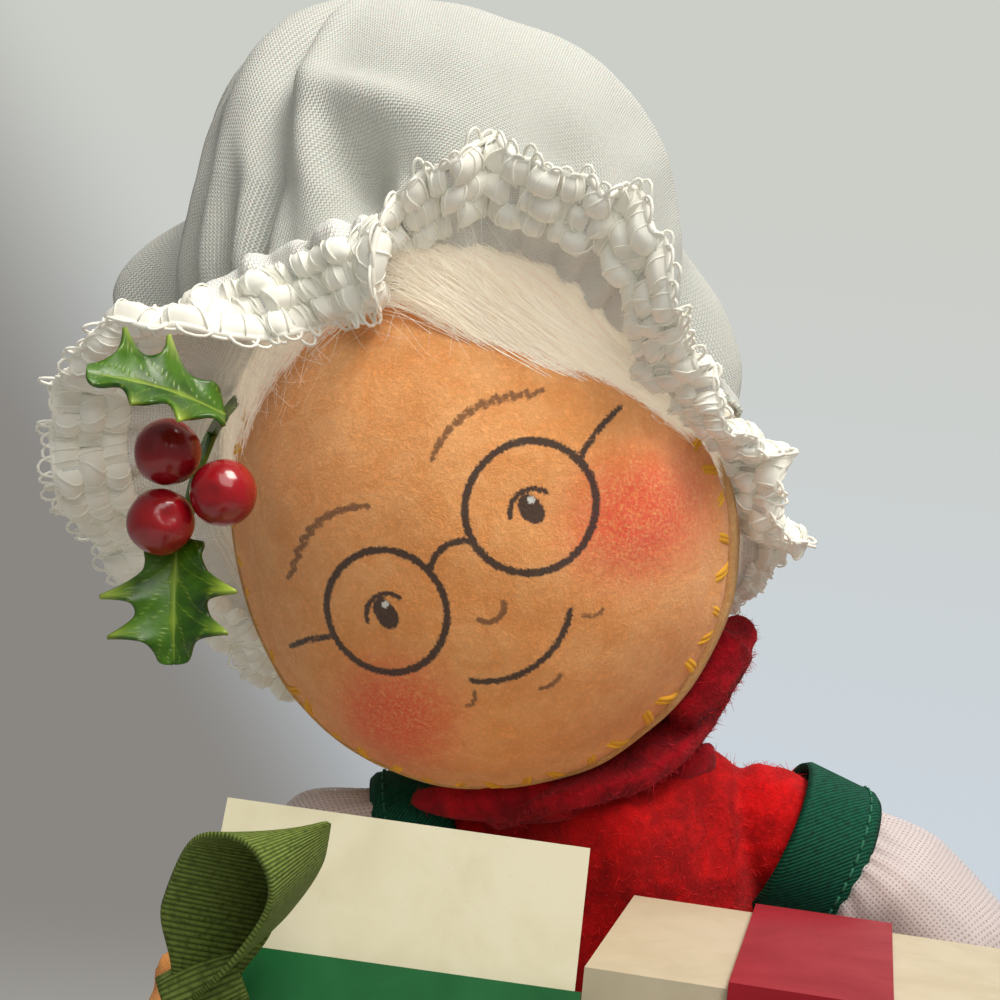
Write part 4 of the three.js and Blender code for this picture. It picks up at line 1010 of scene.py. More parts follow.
class DOLL_OT_head(bpy.types.Operator):
    """Face felt and back felt, sewn round their seam with golden thread"""

    bl_idname = "doll.head"
    bl_label = "Head"

    def execute(self, context):
        columns, rows = 240, 150
        face = self.felts(columns, rows)
        fibre = finish_for("face fibre")

        def outside(polygon):
            return polygon.index < columns * rows

        fuzz("face_fuzz", face, sizes().fuzz, *FACE_FUZZ, fibre, "head", "face_felt", outside)
        self.stitches()
        return {"FINISHED"}

    def felts(self, columns, rows):
        """Makes the face felt and the back felt, which meet at the seam, and returns the face."""
        angles = [seam_angle(FULL_TURN * i / columns, SEAM_FORWARD + GAP / 2) for i in range(columns)]
        backs = [seam_angle(FULL_TURN * i / columns, SEAM_FORWARD - GAP / 2) for i in range(columns)]

        def lump(p, size):
            return size * noise.noise(p / 7)

        def front(u, v):
            i = round(u * columns) % columns
            p = head_at(max(angles[i] * v, 1e-4), FULL_TURN * u)
            rim = 0.35 * smooth(v, 0.9, 0.97) - 0.6 * smooth(v, 0.97, 1)
            return head_out(p, lump(p, 0.35) + rim)

        def back(u, v):
            i = round(u * columns) % columns
            p = head_at(min(lerp(backs[i], math.pi, v), math.pi - 1e-4), FULL_TURN * u)
            return head_out(p, lump(p, 0.3) + 0.5 * smooth(v, 0.1, 0))

        flat = (0.15, 0.03)
        points, faces, corners = grid(front, columns, rows, True, flat)
        face = add_mesh("face_felt", points, faces, finish_for("face felt"), "head", "face_felt", corners)
        paint_face(face)
        thicken(face, FELT, -1)
        points, faces, corners = grid(back, columns, 60, True, flat)
        back_felt = add_mesh("back_felt", points, faces, finish_for("tan felt"), "head", "head_felt", corners)
        thicken(back_felt, FELT, -1)
        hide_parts("head_face_felt")
        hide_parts("head_back_felt")
        return face

    def stitches(self):
        draw = random.Random("stitches")
        points, faces = [], []
        for i in range(STITCH_COUNT):
            azimuth = FULL_TURN * (i + draw.uniform(-0.15, 0.15)) / STITCH_COUNT
            seam = seam_angle(azimuth, SEAM_FORWARD)
            for strand in (-0.5, 0.5):
                path = []
                for s in range(9):
                    t = s / 8
                    angle = seam + (t - 0.92) * STITCH_LENGTH / SEAM_RADIUS
                    slant = azimuth + (t - 0.5) * (0.1 if i % 2 else -0.06) + strand * 0.02
                    path.append(head_at(angle, slant, 0.25 + 1.2 * math.sin(math.pi * t)))
                tube_into(points, faces, path, STITCH_RADIUS, 8)
        add_mesh("seam_stitches", points, faces, finish_for("golden thread"), "head", "face_felt")


# Hair: how far it stands off the head, by its distance from the cap's mouth towards the face
HAIR_SWELL = [(-1, 6.6), (1.5, 6.2), (5, 3.4), (9, 1.3), (14, 0.7)]
# How much of that it has at each place round the cap's mouth
HAIR_FULL = [(0, 0.4), (0.08, 0.6), (0.15, 0.85), (0.2, 1), (0.31, 1), (0.36, 0.5), (0.95, 0.4), (1, 0.3)]


class DOLL_OT_hair(bpy.types.Operator):
    """Mohair: a swath across the forehead and a thin veil down the doll's right cheek"""

    bl_idname = "doll.hair"
    bl_label = "Hair"

    def execute(self, context):
        draw = random.Random("hair")
        points, faces = [], []
        count = sizes().hairs

        def strand(start, end, seat, bow, width, curl):
            steps = 9
            phase = draw.uniform(0, FULL_TURN)
            path = []
            for s in range(steps + 1):
                t = s / steps
                turn = lerp(start[0], end[0], t)
                drop = lerp(start[1], end[1], t) + bow * math.sin(math.pi * t)
                drop += curl * math.sin(phase + 6 * t)
                lift = seat * through(HAIR_SWELL, drop) * through(HAIR_FULL, turn % 1)
                lift += 0.3 * curl * math.sin(2 * phase + 7 * t)
                path.append(scalp_point(turn, drop, max(0.1, lift)))
            hair_into(points, faces, path, width)

        def swath(number):
            for _ in range(number):
                low = draw.random()
                start = (lerp(0.35, 0.2, low) + draw.gauss(0, 0.008), draw.uniform(-3, 1.5))
                end = (lerp(-0.01, 0.1, draw.random()), lerp(6.5, 1, low) + draw.gauss(0, 1.6))
                bow = lerp(7, 1.5, low) + draw.gauss(0, 0.9)
                strand(start, end, draw.uniform(0.25, 1.05), bow, 0.08, draw.uniform(0.2, 0.8))

        def veil(number):
            for _ in range(number):
                start = (draw.uniform(0.31, 0.44), draw.uniform(-3, 1))
                end = (draw.uniform(0.5, 0.7), draw.uniform(2, 9))
                strand(start, end, draw.uniform(0.2, 0.9), draw.uniform(0, 4), 0.07, draw.uniform(0.3, 1.0))

        def tufts(number):
            for _ in range(number):
                turn = draw.random()
                end = (turn + draw.uniform(-0.07, 0.07), draw.uniform(0.5, 3.5))
                strand((turn, -3), end, draw.uniform(0.3, 1.0), 0.5, 0.08, draw.uniform(0.2, 0.8))

        def flyaways(number):
            for _ in range(number):
                start = (draw.uniform(0.25, 0.62), draw.uniform(-2, 2))
                end = (start[0] + draw.uniform(-0.12, 0.2), draw.uniform(3, 14))
                strand(start, end, draw.uniform(0.8, 1.8), draw.uniform(-2, 4), 0.035, draw.uniform(0.8, 2.2))

        swath(int(count * 0.5))
        veil(int(count * 0.13))
        tufts(int(count * 0.35))
        flyaways(int(count * 0.02))
        hair = add_mesh("mohair", points, faces, finish_for("mohair"), "head", "mohair")
        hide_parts("hair")
        return {"FINISHED"}


# Cap


def ruffle_run(turn, v):
    """How far out and forward the ruffle has come after a share of its length, and the lean it has there."""
    length = RUFFLE_WIDTH * through(RUFFLE_REACH, turn) * v
    lean = through(RUFFLE_LEAN, turn)
    fold = through(RUFFLE_FOLD, turn)
    out = forward = angle = 0
    steps = 16
    for i in range(steps):
        angle = deg(lean + fold * smooth((i + 0.5) / steps * v, *RUFFLE_FOLD_SPAN))
        out += length / steps * math.cos(angle)
        forward += length / steps * math.sin(angle)
    return out, forward, angle


def ruffle_point(u, v):
    """u round the cap's mouth and v from the gathers to the edge, with its pleats."""
    turn = u % 1
    out, forward, angle = ruffle_run(turn, v)
    along = ring_way(turn) * math.cos(angle) + RING_FACE * math.sin(angle)
    across = along.cross(ring_way(turn + 0.25)).normalized()
    count = sizes().pleats
    drift = 0.6 * noise.noise(Vector((3 * math.cos(FULL_TURN * turn), 3 * math.sin(FULL_TURN * turn), 0)))
    wave = math.sin(FULL_TURN * count * turn + 4 * drift)
    wave += 0.35 * math.sin(FULL_TURN * 1.7 * count * turn + 5)
    rise = sizes().pleat_depth * (0.75 + drift) * wave
    rise += 1.2 * v * math.sin(FULL_TURN * RUFFLE_WAVES * turn)
    for place, wide, height in RUFFLE_PLEATS:
        rise += height * v * math.exp(-(((turn - place) / wide) ** 2))
    root = ring_point(turn, CAP_SEAT + RUFFLE_SEAT) + RING_FACE * through(RUFFLE_FORWARD, turn)
    tucked = ring_point(turn, HAIR_SEAT) - RING_FACE
    p = tucked.lerp(root, smooth(v, 0, 0.1)) + ring_way(turn) * out + RING_FACE * forward
    p += across * rise * min(1, 0.35 + v)
    return head_out(p, HAIR_SEAT) if head_level(HEAD_INVERSE @ p, HAIR_SEAT) < 1 else p


def lace_start(turn):
    """Where the lace begins, from the gathers to the edge: its width stays where the ruffle is short."""
    return max(0.3, 1 - LACE_WIDTH / (RUFFLE_WIDTH * through(RUFFLE_REACH, turn % 1)))


def lace_place(turn, v, lift):
    """A place on the lace: v from its start to the frill's edge, and lift mm off the frill."""
    down = lerp(lace_start(turn), 1, v)
    p = ruffle_point(turn, down)
    beside = ruffle_point(turn + 0.002, down)
    below = ruffle_point(turn, down - 0.02)
    return p + (beside - p).cross(below - p).normalized() * lift


def lace_puff(points, faces, turn, v, half_turn, height, face_side):
    """One puff of yarn, domed off the frill's outer side (1) or inner side (-1)."""
    first = len(points)
    steps = 6
    for j in range(steps + 1):
        for i in range(steps + 1):
            a, b = 2 * i / steps - 1, 2 * j / steps - 1
            dome = height * ((1 - a * a) * (1 - b * b)) ** 0.45
            lift = face_side * (0.15 + dome)
            points.append(lace_place(turn + a * half_turn, v + b * LACE_HALF_ROW, lift))
    for j in range(steps):
        for i in range(steps):
            k = first + j * (steps + 1) + i
            face = (k, k + 1, k + steps + 2, k + steps + 1)
            faces.append(face if face_side > 0 else face[::-1])


def lace_thread(turn, sway, v, height, face_side):
    """The path of a thread across one row, over a puff of that height."""
    path = []
    for step in range(7):
        t = step / 6
        swell = 0.3 + height * math.sin(math.pi * t) ** 0.6
        down = lerp(v - LACE_HALF_ROW, v + LACE_HALF_ROW, t)
        path.append(lace_place(turn + sway * (t - 0.5), down, face_side * swell))
    return path


def crown_point(u, v):
    """u round the cap's mouth and v from the gathers to the top."""
    turn = u % 1
    azimuth = FULL_TURN * turn
    polar = lerp(deg(CROWN_LOWEST), 0, v)
    out, height = math.sin(polar), abs(math.cos(polar))
    square = (out**CROWN_SQUARE + height**CROWN_SQUARE) ** (-1 / CROWN_SQUARE)
    top = lerp(*CROWN_PUFF_TOP, 0.5 + 0.5 * math.cos(azimuth))
    low = math.sin(math.pi * min(1, v / top)) ** 0.8
    behind = smooth(-math.sin(azimuth), 0.08, 0.42)
    from_side = min(abs(turn - place) for place in CROWN_CREASES_AT)
    crease = CROWN_CREASE * math.exp(-((from_side / 0.02) ** 2)) * low
    swell = CROWN_PUFF * low * behind - crease
    across = (CROWN_HALF_WIDTH * square * out + swell) * math.cos(azimuth)
    deep = -(CROWN_HALF_DEPTH * square * out + 0.4 * swell) * math.sin(azimuth)
    tall = CROWN_ABOVE * square * math.cos(polar) - CROWN_SLOPE * across
    bag = Vector(CROWN_CENTRE) + Vector((across, deep, tall))
    gathers = ring_point(turn, CAP_SEAT + CROWN_ROOT) + RING_FACE * (through(RUFFLE_FORWARD, turn) - 1.6)
    p = gathers.lerp(bag, smooth(v, 0, 0.22))
    if head_level(HEAD_INVERSE @ p, CAP_SEAT + CROWN_CLEAR) < 1:
        p = head_out(p, CAP_SEAT + CROWN_CLEAR)
    p += folds(turn, v, p)
    return head_out(p, CAP_SEAT) if head_level(HEAD_INVERSE @ p, CAP_SEAT) < 1 else p


def folds(turn, v, p):
    """Gathers that rise from the cap's mouth, and the soft folds of the bag above them."""
    out = (p - Vector(CROWN_CENTRE)).normalized()
    azimuth = FULL_TURN * turn
    round_place = Vector((math.cos(azimuth), math.sin(azimuth), 0))
    drift = noise.noise(round_place * 2.2)
    gather = math.sin(CROWN_GATHERS * azimuth + 6 * drift)
    gather += 0.5 * math.sin(CROWN_WIDE_GATHERS * azimuth + 9 * drift)
    patches = max(0, noise.noise(round_place * 5 + out))
    fade = math.exp(-v * 7) + 0.35 * math.exp(-(((v - 0.25) / 0.14) ** 2)) * patches
    soft = 0.9 * noise.noise(p / 13 + Vector((3, 1, 7))) + 0.4 * noise.noise(p / 6)
    large = 0
    for place, up, wide, tall, height in CROWN_FOLDS:
        aside = turn - place - 0.12 * max(0, v - 0.4)
        large += height * math.exp(-((aside / wide) ** 2) - ((v - up) / tall) ** 2)
    return out * (0.7 * gather * fade + (large + soft) * smooth(v, 0.03, 0.2))


class DOLL_OT_cap(bpy.types.Operator):
    """Mob cap: gathered crown, ruffle and its crocheted edge"""

    bl_idname = "doll.cap"
    bl_label = "Mob cap"

    def execute(self, context):
        cotton = finish_for("cap cotton")
        cut = 2 * CROWN_CUT_RADIUS * MM
        flat = (cut, cut)

        def bag(u, v):
            return crown_point(u, CROWN_REACH * v)

        crown = cloth("cap_bag", bag, 320, 96, True, flat, COTTON, cotton, "head", "cap_cotton", disc=True)
        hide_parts("cap_crown", "cap_elastic")
        # The frill gets the cap cotton painted lighter, as painted light that lifts its shaded underside
        lightened_frill_cotton = finish_for("frill cotton")
        flat = (FRILL_LENGTH, RUFFLE_WIDTH * MM * 0.7)

        def ruffle(u, v):
            return ruffle_point(u, FRILL_REACH * v)

        frill = cloth("cap_frill", ruffle, 864, 26, True, flat, COTTON, lightened_frill_cotton, "head", "cap_cotton")
        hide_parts("cap_ruffle")
        self.lace()
        return {"FINISHED"}

    def lace(self):
        """Crochet on the frill's edge: rows of puffs under fine threads, and loops at the rim."""
        draw = random.Random("lace")
        points, faces = [], []
        for row, v in enumerate(LACE_ROWS):
            for i in range(LACE_PUFFS):
                turn = (i + 0.5 * (row % 2) + draw.uniform(-0.12, 0.12)) / LACE_PUFFS
                self.crochet(draw, points, faces, turn, v)
        rim = 6 * LACE_PUFFS
        edge = [lace_place(i / rim, 0.99, 0) for i in range(rim + 1)]
        tube_into(points, faces, edge, LACE_RIM_RADIUS, 8)
        self.rim_loops(draw, points, faces)
        lace = add_mesh("crochet_edge", points, faces, finish_for("lace yarn"), "head", "lace")
        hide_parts("cap_lace")

    def crochet(self, draw, points, faces, turn, v):
        """One puff on each side of the frill, with three threads over it."""
        height = draw.uniform(0.6, 1.7)
        half = draw.uniform(0.42, 0.62) / LACE_PUFFS
        for face_side in (1, -1):
            lace_puff(points, faces, turn, v, half, height, face_side)
            for k in (-0.65, 0, 0.65):
                sway = draw.uniform(-0.3, 0.3) / LACE_PUFFS
                over = height * (1 - k * k) ** 0.5
                radius = draw.uniform(0.08, 0.14)
                path = lace_thread(turn + k * half, sway, v, over, face_side)
                tube_into(points, faces, path, radius, 5)

    def rim_loops(self, draw, points, faces):
        """Small loops of yarn that stand out past the frill's edge."""
        count = 3 * LACE_PUFFS
        for i in range(count):
            reach = 1.08 + draw.uniform(-0.08, 0.16)
            loop = []
            for step in range(8):
                angle = math.pi * step / 7
                turn = i / count - 0.24 / LACE_PUFFS * math.cos(angle)
                v = lerp(0.86, reach, math.sin(angle) ** 0.7)
                loop.append(lace_place(turn, v, 0.3 * (i % 2) - 0.15))
            tube_into(points, faces, loop, LACE_LOOP_RADIUS, 5)


# Holly


def holly_leaf(name, root, tip, normal, half_width, spines, node):
    root, tip = Vector(root), Vector(tip)
    along = (tip - root).normalized()
    length = (tip - root).length
    up = (Vector(normal) - along * Vector(normal).dot(along)).normalized()
    across = up.cross(along).normalized()

    def edge(t):
        body = max(0, math.sin(math.pi * min(1, 0.06 + 0.94 * t) ** 0.9)) ** 0.65
        spike = abs(((t * spines) % 1) - 0.5) * 2
        return max(0.2, half_width * (0.5 * body + 0.5 * body * spike**2.2))

    def leaf_point(u, v):
        side = 2 * v - 1
        reach = edge(u) * side
        bow = 0.06 * length * math.sin(math.pi * u)
        wave = 0.5 * math.sin(FULL_TURN * spines * u) * side * side
        rise = 0.32 * abs(reach) + bow + wave
        return root + along * (length * u + 0.3 * abs(reach)) + across * reach + up * rise

    steps, rows = 64, 20
    points, faces, corners = grid(leaf_point, steps, rows, False, (length * MM, 2 * half_width * MM))
    leaf = add_mesh(name, points, faces, finish_for("leaf"), "head", "leaf", corners)
    vein = leaf.data.attributes.new("vein", "FLOAT", "POINT")
    spine = leaf.data.attributes.new("tip", "FLOAT", "POINT")
    veins, tips = [], []
    for j in range(rows + 1):
        for i in range(steps + 1):
            u, side = i / steps, abs(2 * j / rows - 1)
            rib = smooth(side, 0.12, 0.02)
            branch = abs(((u * spines * 2 - side * 1.6) % 1) - 0.5) * 2
            veins.append(max(rib, 0.5 * smooth(branch, 0.86, 1.0)))
            tips.append(smooth(side, 0.55, 1.0) * smooth(edge(u), 0.55 * half_width, half_width))
    vein.data.foreach_set("value", veins)
    spine.data.foreach_set("value", tips)
    thicken(leaf, LEAF)
    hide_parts(node)
    return leaf


class DOLL_OT_holly(bpy.types.Operator):
    """Two holly leaves and three berries"""

    bl_idname = "doll.holly"
    bl_label = "Holly"

    def execute(self, context):
        holly_leaf("leaf_upper", *LEAF_UPPER, 3, "holly_leaf_upper")
        holly_leaf("leaf_lower", *LEAF_LOWER, 3, "holly_leaf_lower")
        for i in (1, 2, 3):
            self.berry(i)
        return {"FINISHED"}

    def berry(self, number):
        node = f"holly_berry_{number}"
        middle = middle_of(node)
        low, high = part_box(node)
        radius = (high[1] - low[1]) / 2
        bpy.ops.object.select_all(action="DESELECT")
        bpy.ops.mesh.primitive_uv_sphere_add(segments=40, ring_count=24, radius=radius, location=(0, 0, 0))
        obj = bpy.context.object
        obj.name = f"berry_{number}"
        draw = random.Random(number)
        away = Vector((draw.uniform(-0.5, 0.5), -1, draw.uniform(-0.6, 0.3))).normalized()
        for vertex in obj.data.vertices:
            facing = vertex.co.normalized().dot(away)
            dimple = 0.1 * radius * smooth(facing, 0.93, 1.0)
            lump = 0.03 * radius * noise.noise(vertex.co * 500 + Vector((number, 0, 0)))
            vertex.co *= 0.985
            vertex.co += vertex.co.normalized() * (lump - dimple)
            vertex.co += middle
        settle(obj, finish_for("berry"), "head", "berry")
        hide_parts(node)


# Dress and body: centre and radius of each swelling of dress and collar, and how far it pushes the felt
DRESS_SWELLS = [
    ((9, -3, 117), 7, (0, 0, 3.2)),
    ((-2, -11, 112.5), 7.5, (0, -5.6, 2.4)),
]
COLLAR_SWELLS = [((9, -2, 131), 6, (0.6, 0, 3.6))]
# The collar's lower layer: its course, and half its height and thickness
UNDER_COLLAR = [
    (8, 4, 118),
    (7.4, -5, 119.6),
    (0.5, -9.5, 117),
    (-9, -12.5, 114.2),
    (-18, -11.5, 112.6),
    (-23, -8, 111.6),
]
UNDER_COLLAR_HALF_HEIGHT = 2.4
UNDER_COLLAR_HALF_THICKNESS = 1.3
# Loose fibres show on the dress above this height, in metres
DRESS_FUZZ_FROM = 0.098


class DOLL_OT_body(bpy.types.Operator):
    """Stuffed torso, neck, collar, arms and legs"""

    bl_idname = "doll.body"
    bl_label = "Body"

    def execute(self, context):
        red, skin = finish_for("red felt"), finish_for("skin felt")
        torso = soften("dress_body", ["torso_felt"], 0.5, 8, red, "torso", "red_felt")
        neck = soften("neck", ["neck_felt"], 0.6, 4, skin, "neck", "skin_felt")
        self.fill_out(torso, DRESS_SWELLS)
        crimson = finish_for("crimson felt")
        collar = soften("felt_collar", ["collar"], 0.45, 7, crimson, "neck", "crimson_felt")
        self.fill_out(collar, COLLAR_SWELLS)
        for piece in (torso, neck, collar, self.under_collar()):
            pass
        red_fibre, crimson_fibre = finish_for("red fibre"), finish_for("crimson fibre")
        fuzz("dress_fuzz", torso, 9000, *CLOTH_FUZZ, red_fibre, "torso", "red_felt", self.upper_part)
        fuzz("collar_fuzz", collar, 5000, *CLOTH_FUZZ, crimson_fibre, "neck", "crimson_felt")
        self.limbs()
        return {"FINISHED"}

    def limbs(self):
        skin, stocking, black = finish_for("skin felt"), finish_for("stocking"), finish_for("black felt")
        for side in ("right", "left"):
            for part in ("upper_arm", "forearm"):
                body = f"{part}_{side}"
                arm = soften(f"felt_{part}_{side}", [body], 0.5, 6, skin, body, "skin_felt")
            for part in ("thigh", "shin"):
                body = f"{part}_{side}"
                leg = soften(f"stuffed_{part}_{side}", [body], 0.6, 6, stocking, body, "stocking")
            foot = f"shoe_{side}"
            shoe = soften(f"felt_{foot}", [foot], 0.45, 7, black, f"shin_{side}", "shoe_felt")

    @staticmethod
    def upper_part(face):
        return face.center.z > DRESS_FUZZ_FROM

    @staticmethod
    def fill_out(piece, swells):
        """The stuffing presses the dress out beside the neck and below the chin, and the collar curls up."""
        for vertex in piece.data.vertices:
            p = vertex.co / MM - SHIFT
            for centre, radius, push in swells:
                share = math.exp(-((p - Vector(centre)).length_squared) / radius**2)
                vertex.co += Vector(push) * share * MM

    @staticmethod
    def under_collar():
        """The collar's lower layer: a soft felt strip that lies on the shoulders in front of the neck."""
        points, faces = [], []
        steps, sides = 60, 20
        for i in range(steps + 1):
            t = i / steps
            middle = catmull(UNDER_COLLAR, t)
            along = heading(UNDER_COLLAR, t)
            out = along.cross(Vector((0, 0, 1))).normalized()
            up = out.cross(along)
            full = math.sin(math.pi * lerp(0.02, 0.98, t)) ** 0.5
            for s in range(sides):
                angle = FULL_TURN * s / sides
                p = middle + up * UNDER_COLLAR_HALF_HEIGHT * full * math.cos(angle)
                p += out * UNDER_COLLAR_HALF_THICKNESS * full * math.sin(angle)
                points.append(p + out * 0.5 * noise.noise(p / 4))
        for i in range(steps):
            for s in range(sides):
                a, b = i * sides + s, i * sides + (s + 1) % sides
                faces.append((a, a + sides, b + sides, b))
        faces.append(tuple(range(sides)))
        faces.append(tuple(range(steps * sides + sides - 1, steps * sides - 1, -1)))
        strip = add_mesh("under_collar", points, faces, finish_for("crimson felt"), "torso", "crimson_felt")
        fibre = finish_for("crimson fibre")
        fuzz("under_collar_fuzz", strip, 2500, *CLOTH_FUZZ, fibre, "torso", "crimson_felt")
        return strip


def turned_under(v, width):
    """A place across a tape whose two edges are turned to its back: how far over it lies, and how deep."""
    back = 1 - smooth(v, 0.22, 0.28) * (1 - smooth(v, 0.72, 0.78))
    over = min(1, max(0, 2 * v - 0.5))
    if v < 0.25:
        over = 0.5 - 2 * v
    elif v > 0.75:
        over = 2.5 - 2 * v
    return width * over, back * (TAPE + 0.1)


def band_point(side, angle, radius, over):
    """A point round an armhole, over mm from the inner edge of its band."""
    way = band_way(side)
    up = Vector((0, 1, 0)).cross(way)
    wide = Vector((0, radius * math.sin(angle), 0)) + up * radius * math.cos(angle)
    return shoulder(side) + way * (over - BAND_INSIDE) + wide


def sleeve_point(side):
    """A gathered puff from the armhole towards the elbow: u runs round it and v along."""
    root = shoulder(side)
    elbow = Vector(ELBOW_LEFT if side > 0 else ELBOW_RIGHT)
    path = [root, root + Vector((side * 7, -1, -1.2)), root + Vector((side * 16, -3, -8.5)), elbow]

    def point(u, v):
        share = lerp(0.3, 0.9, v)
        middle = catmull(path, share)
        along = heading(path, share)
        across = Vector((0, 1, 0)).cross(along).normalized()
        other = along.cross(across)
        drift = noise.noise(Vector((math.cos(FULL_TURN * u), math.sin(FULL_TURN * u), 2 * v + side)))
        fade = math.exp(-((v / 0.16) ** 2)) + math.exp(-(((1 - v) / 0.2) ** 2)) + 0.12
        gather = 0.3 * math.sin(FULL_TURN * SLEEVE_GATHERS * u + 9 * drift) * fade + 1.5 * drift
        radius = through(SLEEVE_PROFILE, v) + gather
        return middle + across * radius * math.cos(FULL_TURN * u) + other * radius * math.sin(FULL_TURN * u)

    return point


class DOLL_OT_sleeves(bpy.types.Operator):
    """Organza puffs and the green bands round the armholes"""

    bl_idname = "doll.sleeves"
    bl_label = "Sleeves"

    def execute(self, context):
        organza, green = finish_for("organza"), finish_for("green twill")
        for side, name in ((-1, "right"), (1, "left")):
            arm = f"upper_arm_{name}"
            piece, shape = f"organza_puff_{name}", sleeve_point(side)
            puff = cloth(piece, shape, 240, 44, True, SLEEVE_CUT, ORGANZA, organza, arm, "organza")
            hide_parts(f"sleeve_{name}")

            def tape(u, v):
                over, depth = turned_under(v, BAND_WIDTH)
                return band_point(side, FULL_TURN * u, BAND_RADIUS + 0.75 - depth, over)

            flat = (ARMHOLE_TAPE_LENGTH, 2 * BAND_WIDTH * MM)
            band = cloth(f"twill_band_{name}", tape, 120, 32, True, flat, TAPE, green, "torso", "green_twill")
            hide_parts(f"armhole_band_{name}")
            self.band_stitches(side, name)
        return {"FINISHED"}

    def band_stitches(self, side, name):
        points, faces = [], []
        for i in range(BAND_STITCHES):
            path = []
            for s in range(5):
                angle = FULL_TURN * (i + 0.68 * s / 4) / BAND_STITCHES
                radius = BAND_RADIUS + 1 + 0.12 * math.sin(math.pi * s / 4)
                path.append(band_point(side, angle, radius, BAND_SEAM * BAND_WIDTH))
            tube_into(points, faces, path, 0.12, 6)
        add_mesh(f"band_stitches_{name}", points, faces, finish_for("green thread"), "torso", "green_twill")


# Skirt

SKIRT_TOP_RADIUS = 13.7
SKIRT_HEM_RADIUS = 35
SKIRT_HEM_HEIGHT = 24
SKIRT_OVAL = 0.88
SKIRT_FLUTES = 9
SKIRT_FLUTE_DEPTH = 2.6
SKIRT_TOP_UP = 1
APRON_REACH = 116
APRON_HEM_HEIGHT = 33
WAISTBAND_HEIGHT = 5
WAISTBAND_RADIUS = 13.4


def skirt_point(u, v, out=0):
    """u round the skirt, v from its waist to its hem, and out mm off it."""
    flared = lerp(SKIRT_TOP_RADIUS, SKIRT_HEM_RADIUS, v**0.85)
    azimuth = FULL_TURN * u
    drift = noise.noise(Vector((math.cos(azimuth), math.sin(azimuth), v)))
    radius = flared + SKIRT_FLUTE_DEPTH * v * math.sin(SKIRT_FLUTES * azimuth) + 0.5 * v * drift + out
    z = lerp(WAIST[2] + SKIRT_TOP_UP, SKIRT_HEM_HEIGHT, v)
    return Vector((WAIST[0] + radius * math.cos(azimuth), SKIRT_OVAL * radius * math.sin(azimuth), z))


class DOLL_OT_skirt(bpy.types.Operator):
    """Felt skirt, organza apron and twill waistband"""

    bl_idname = "doll.skirt"
    bl_label = "Skirt"

    def execute(self, context):
        red, organza, green = finish_for("red felt"), finish_for("organza"), finish_for("green twill")
        skirt = cloth("felt_skirt", skirt_point, 216, 48, True, SKIRT_CUT, FELT, red, "torso", "red_felt")
        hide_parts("skirt")
        lowest = (WAIST[2] - APRON_HEM_HEIGHT) / (WAIST[2] - SKIRT_HEM_HEIGHT)

        def apron_point(u, v):
            turn = 0.75 + APRON_REACH / 360 * (u - 0.5)
            ripple = 0.35 * math.sin(FULL_TURN * 14 * u) * (1 - 0.6 * v)
            return skirt_point(turn, lerp(0.03, lowest, v), FELT + 0.9 + ripple)

        apron = cloth(
            "organza_apron", apron_point, 120, 60, False, APRON_CUT, ORGANZA, organza, "torso", "organza"
        )
        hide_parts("apron")
        low = WAIST[2] + SKIRT_TOP_UP + GAP

        def band(u, v):
            up, depth = turned_under(v, WAISTBAND_HEIGHT)
            radius = WAISTBAND_RADIUS + 0.3 - depth
            x = radius * math.cos(FULL_TURN * u) - math.tan(deg(LEAN)) * up
            return Vector((WAIST[0] + x, 0.84 * radius * math.sin(FULL_TURN * u), low + up))

        flat = (WAIST_TAPE_LENGTH, 2 * WAISTBAND_HEIGHT * MM)
        waist = cloth("twill_waistband", band, 120, 32, True, flat, TAPE, green, "torso", "green_twill")
        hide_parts("waistband")
        return {"FINISHED"}


# Gift boxes


def gift_place():
    """The frame of the doll's right gift box, from the upper corner of its front."""
    return Matrix.Translation(GIFT_RIGHT_CORNER) @ Matrix.Rotation(-deg(GIFT_RIGHT_PITCH), 4, "X")


def bow_knot():
    stand = 2 * GAP + 0.5
    knot = Vector((BOW_FROM_LEFT, -stand - BOW_KNOT_RADIUS, -GREEN_BAND_DROP - GREEN_BAND_HEIGHT / 2))
    return gift_place() @ knot


def bow_loop(towards, across, twist):
    """A loop of ribbon that leaves the knot, opens and comes back: a place along it and one across."""
    along = Vector(towards).normalized()
    wide = Vector(across).cross(along).normalized()
    width = along.cross(wide)
    length, half = BOW_LOOP_LENGTH, BOW_LOOP_HALF
    outline = [(0.6, 0.3), (0.45 * length, 0.85 * half), (0.82 * length, 0.95 * half), (length, 0)]
    outline += [(x, -z) for x, z in reversed(outline[:-1])]
    outline = [Vector((x, z, 0)) for x, z in outline]

    def point(u, v):
        spot = catmull(outline, u)
        pinch = lerp(0.55, 1, smooth(spot.x, 0, 0.4 * length))
        turned = Matrix.Rotation(-deg(twist) * smooth(u, 0.35, 0.75), 3, along) @ width
        return bow_knot() + along * spot.x + wide * spot.y + turned * BOW_RIBBON_WIDTH * pinch * (v - 0.5)

    return point


def bow_wrap(u, v):
    """The short ribbon round the knot: u runs round it and v across."""
    place = gift_place().to_3x3()
    angle = FULL_TURN * u
    radius = BOW_KNOT_RADIUS * (0.75 + 0.12 * math.sin(math.pi * v))
    spot = Vector((0.9 * radius * math.cos(angle), radius * math.sin(angle), BOW_WRAP_WIDTH * (v - 0.5)))
    return bow_knot() + place @ Matrix.Rotation(deg(60), 3, "Y") @ spot


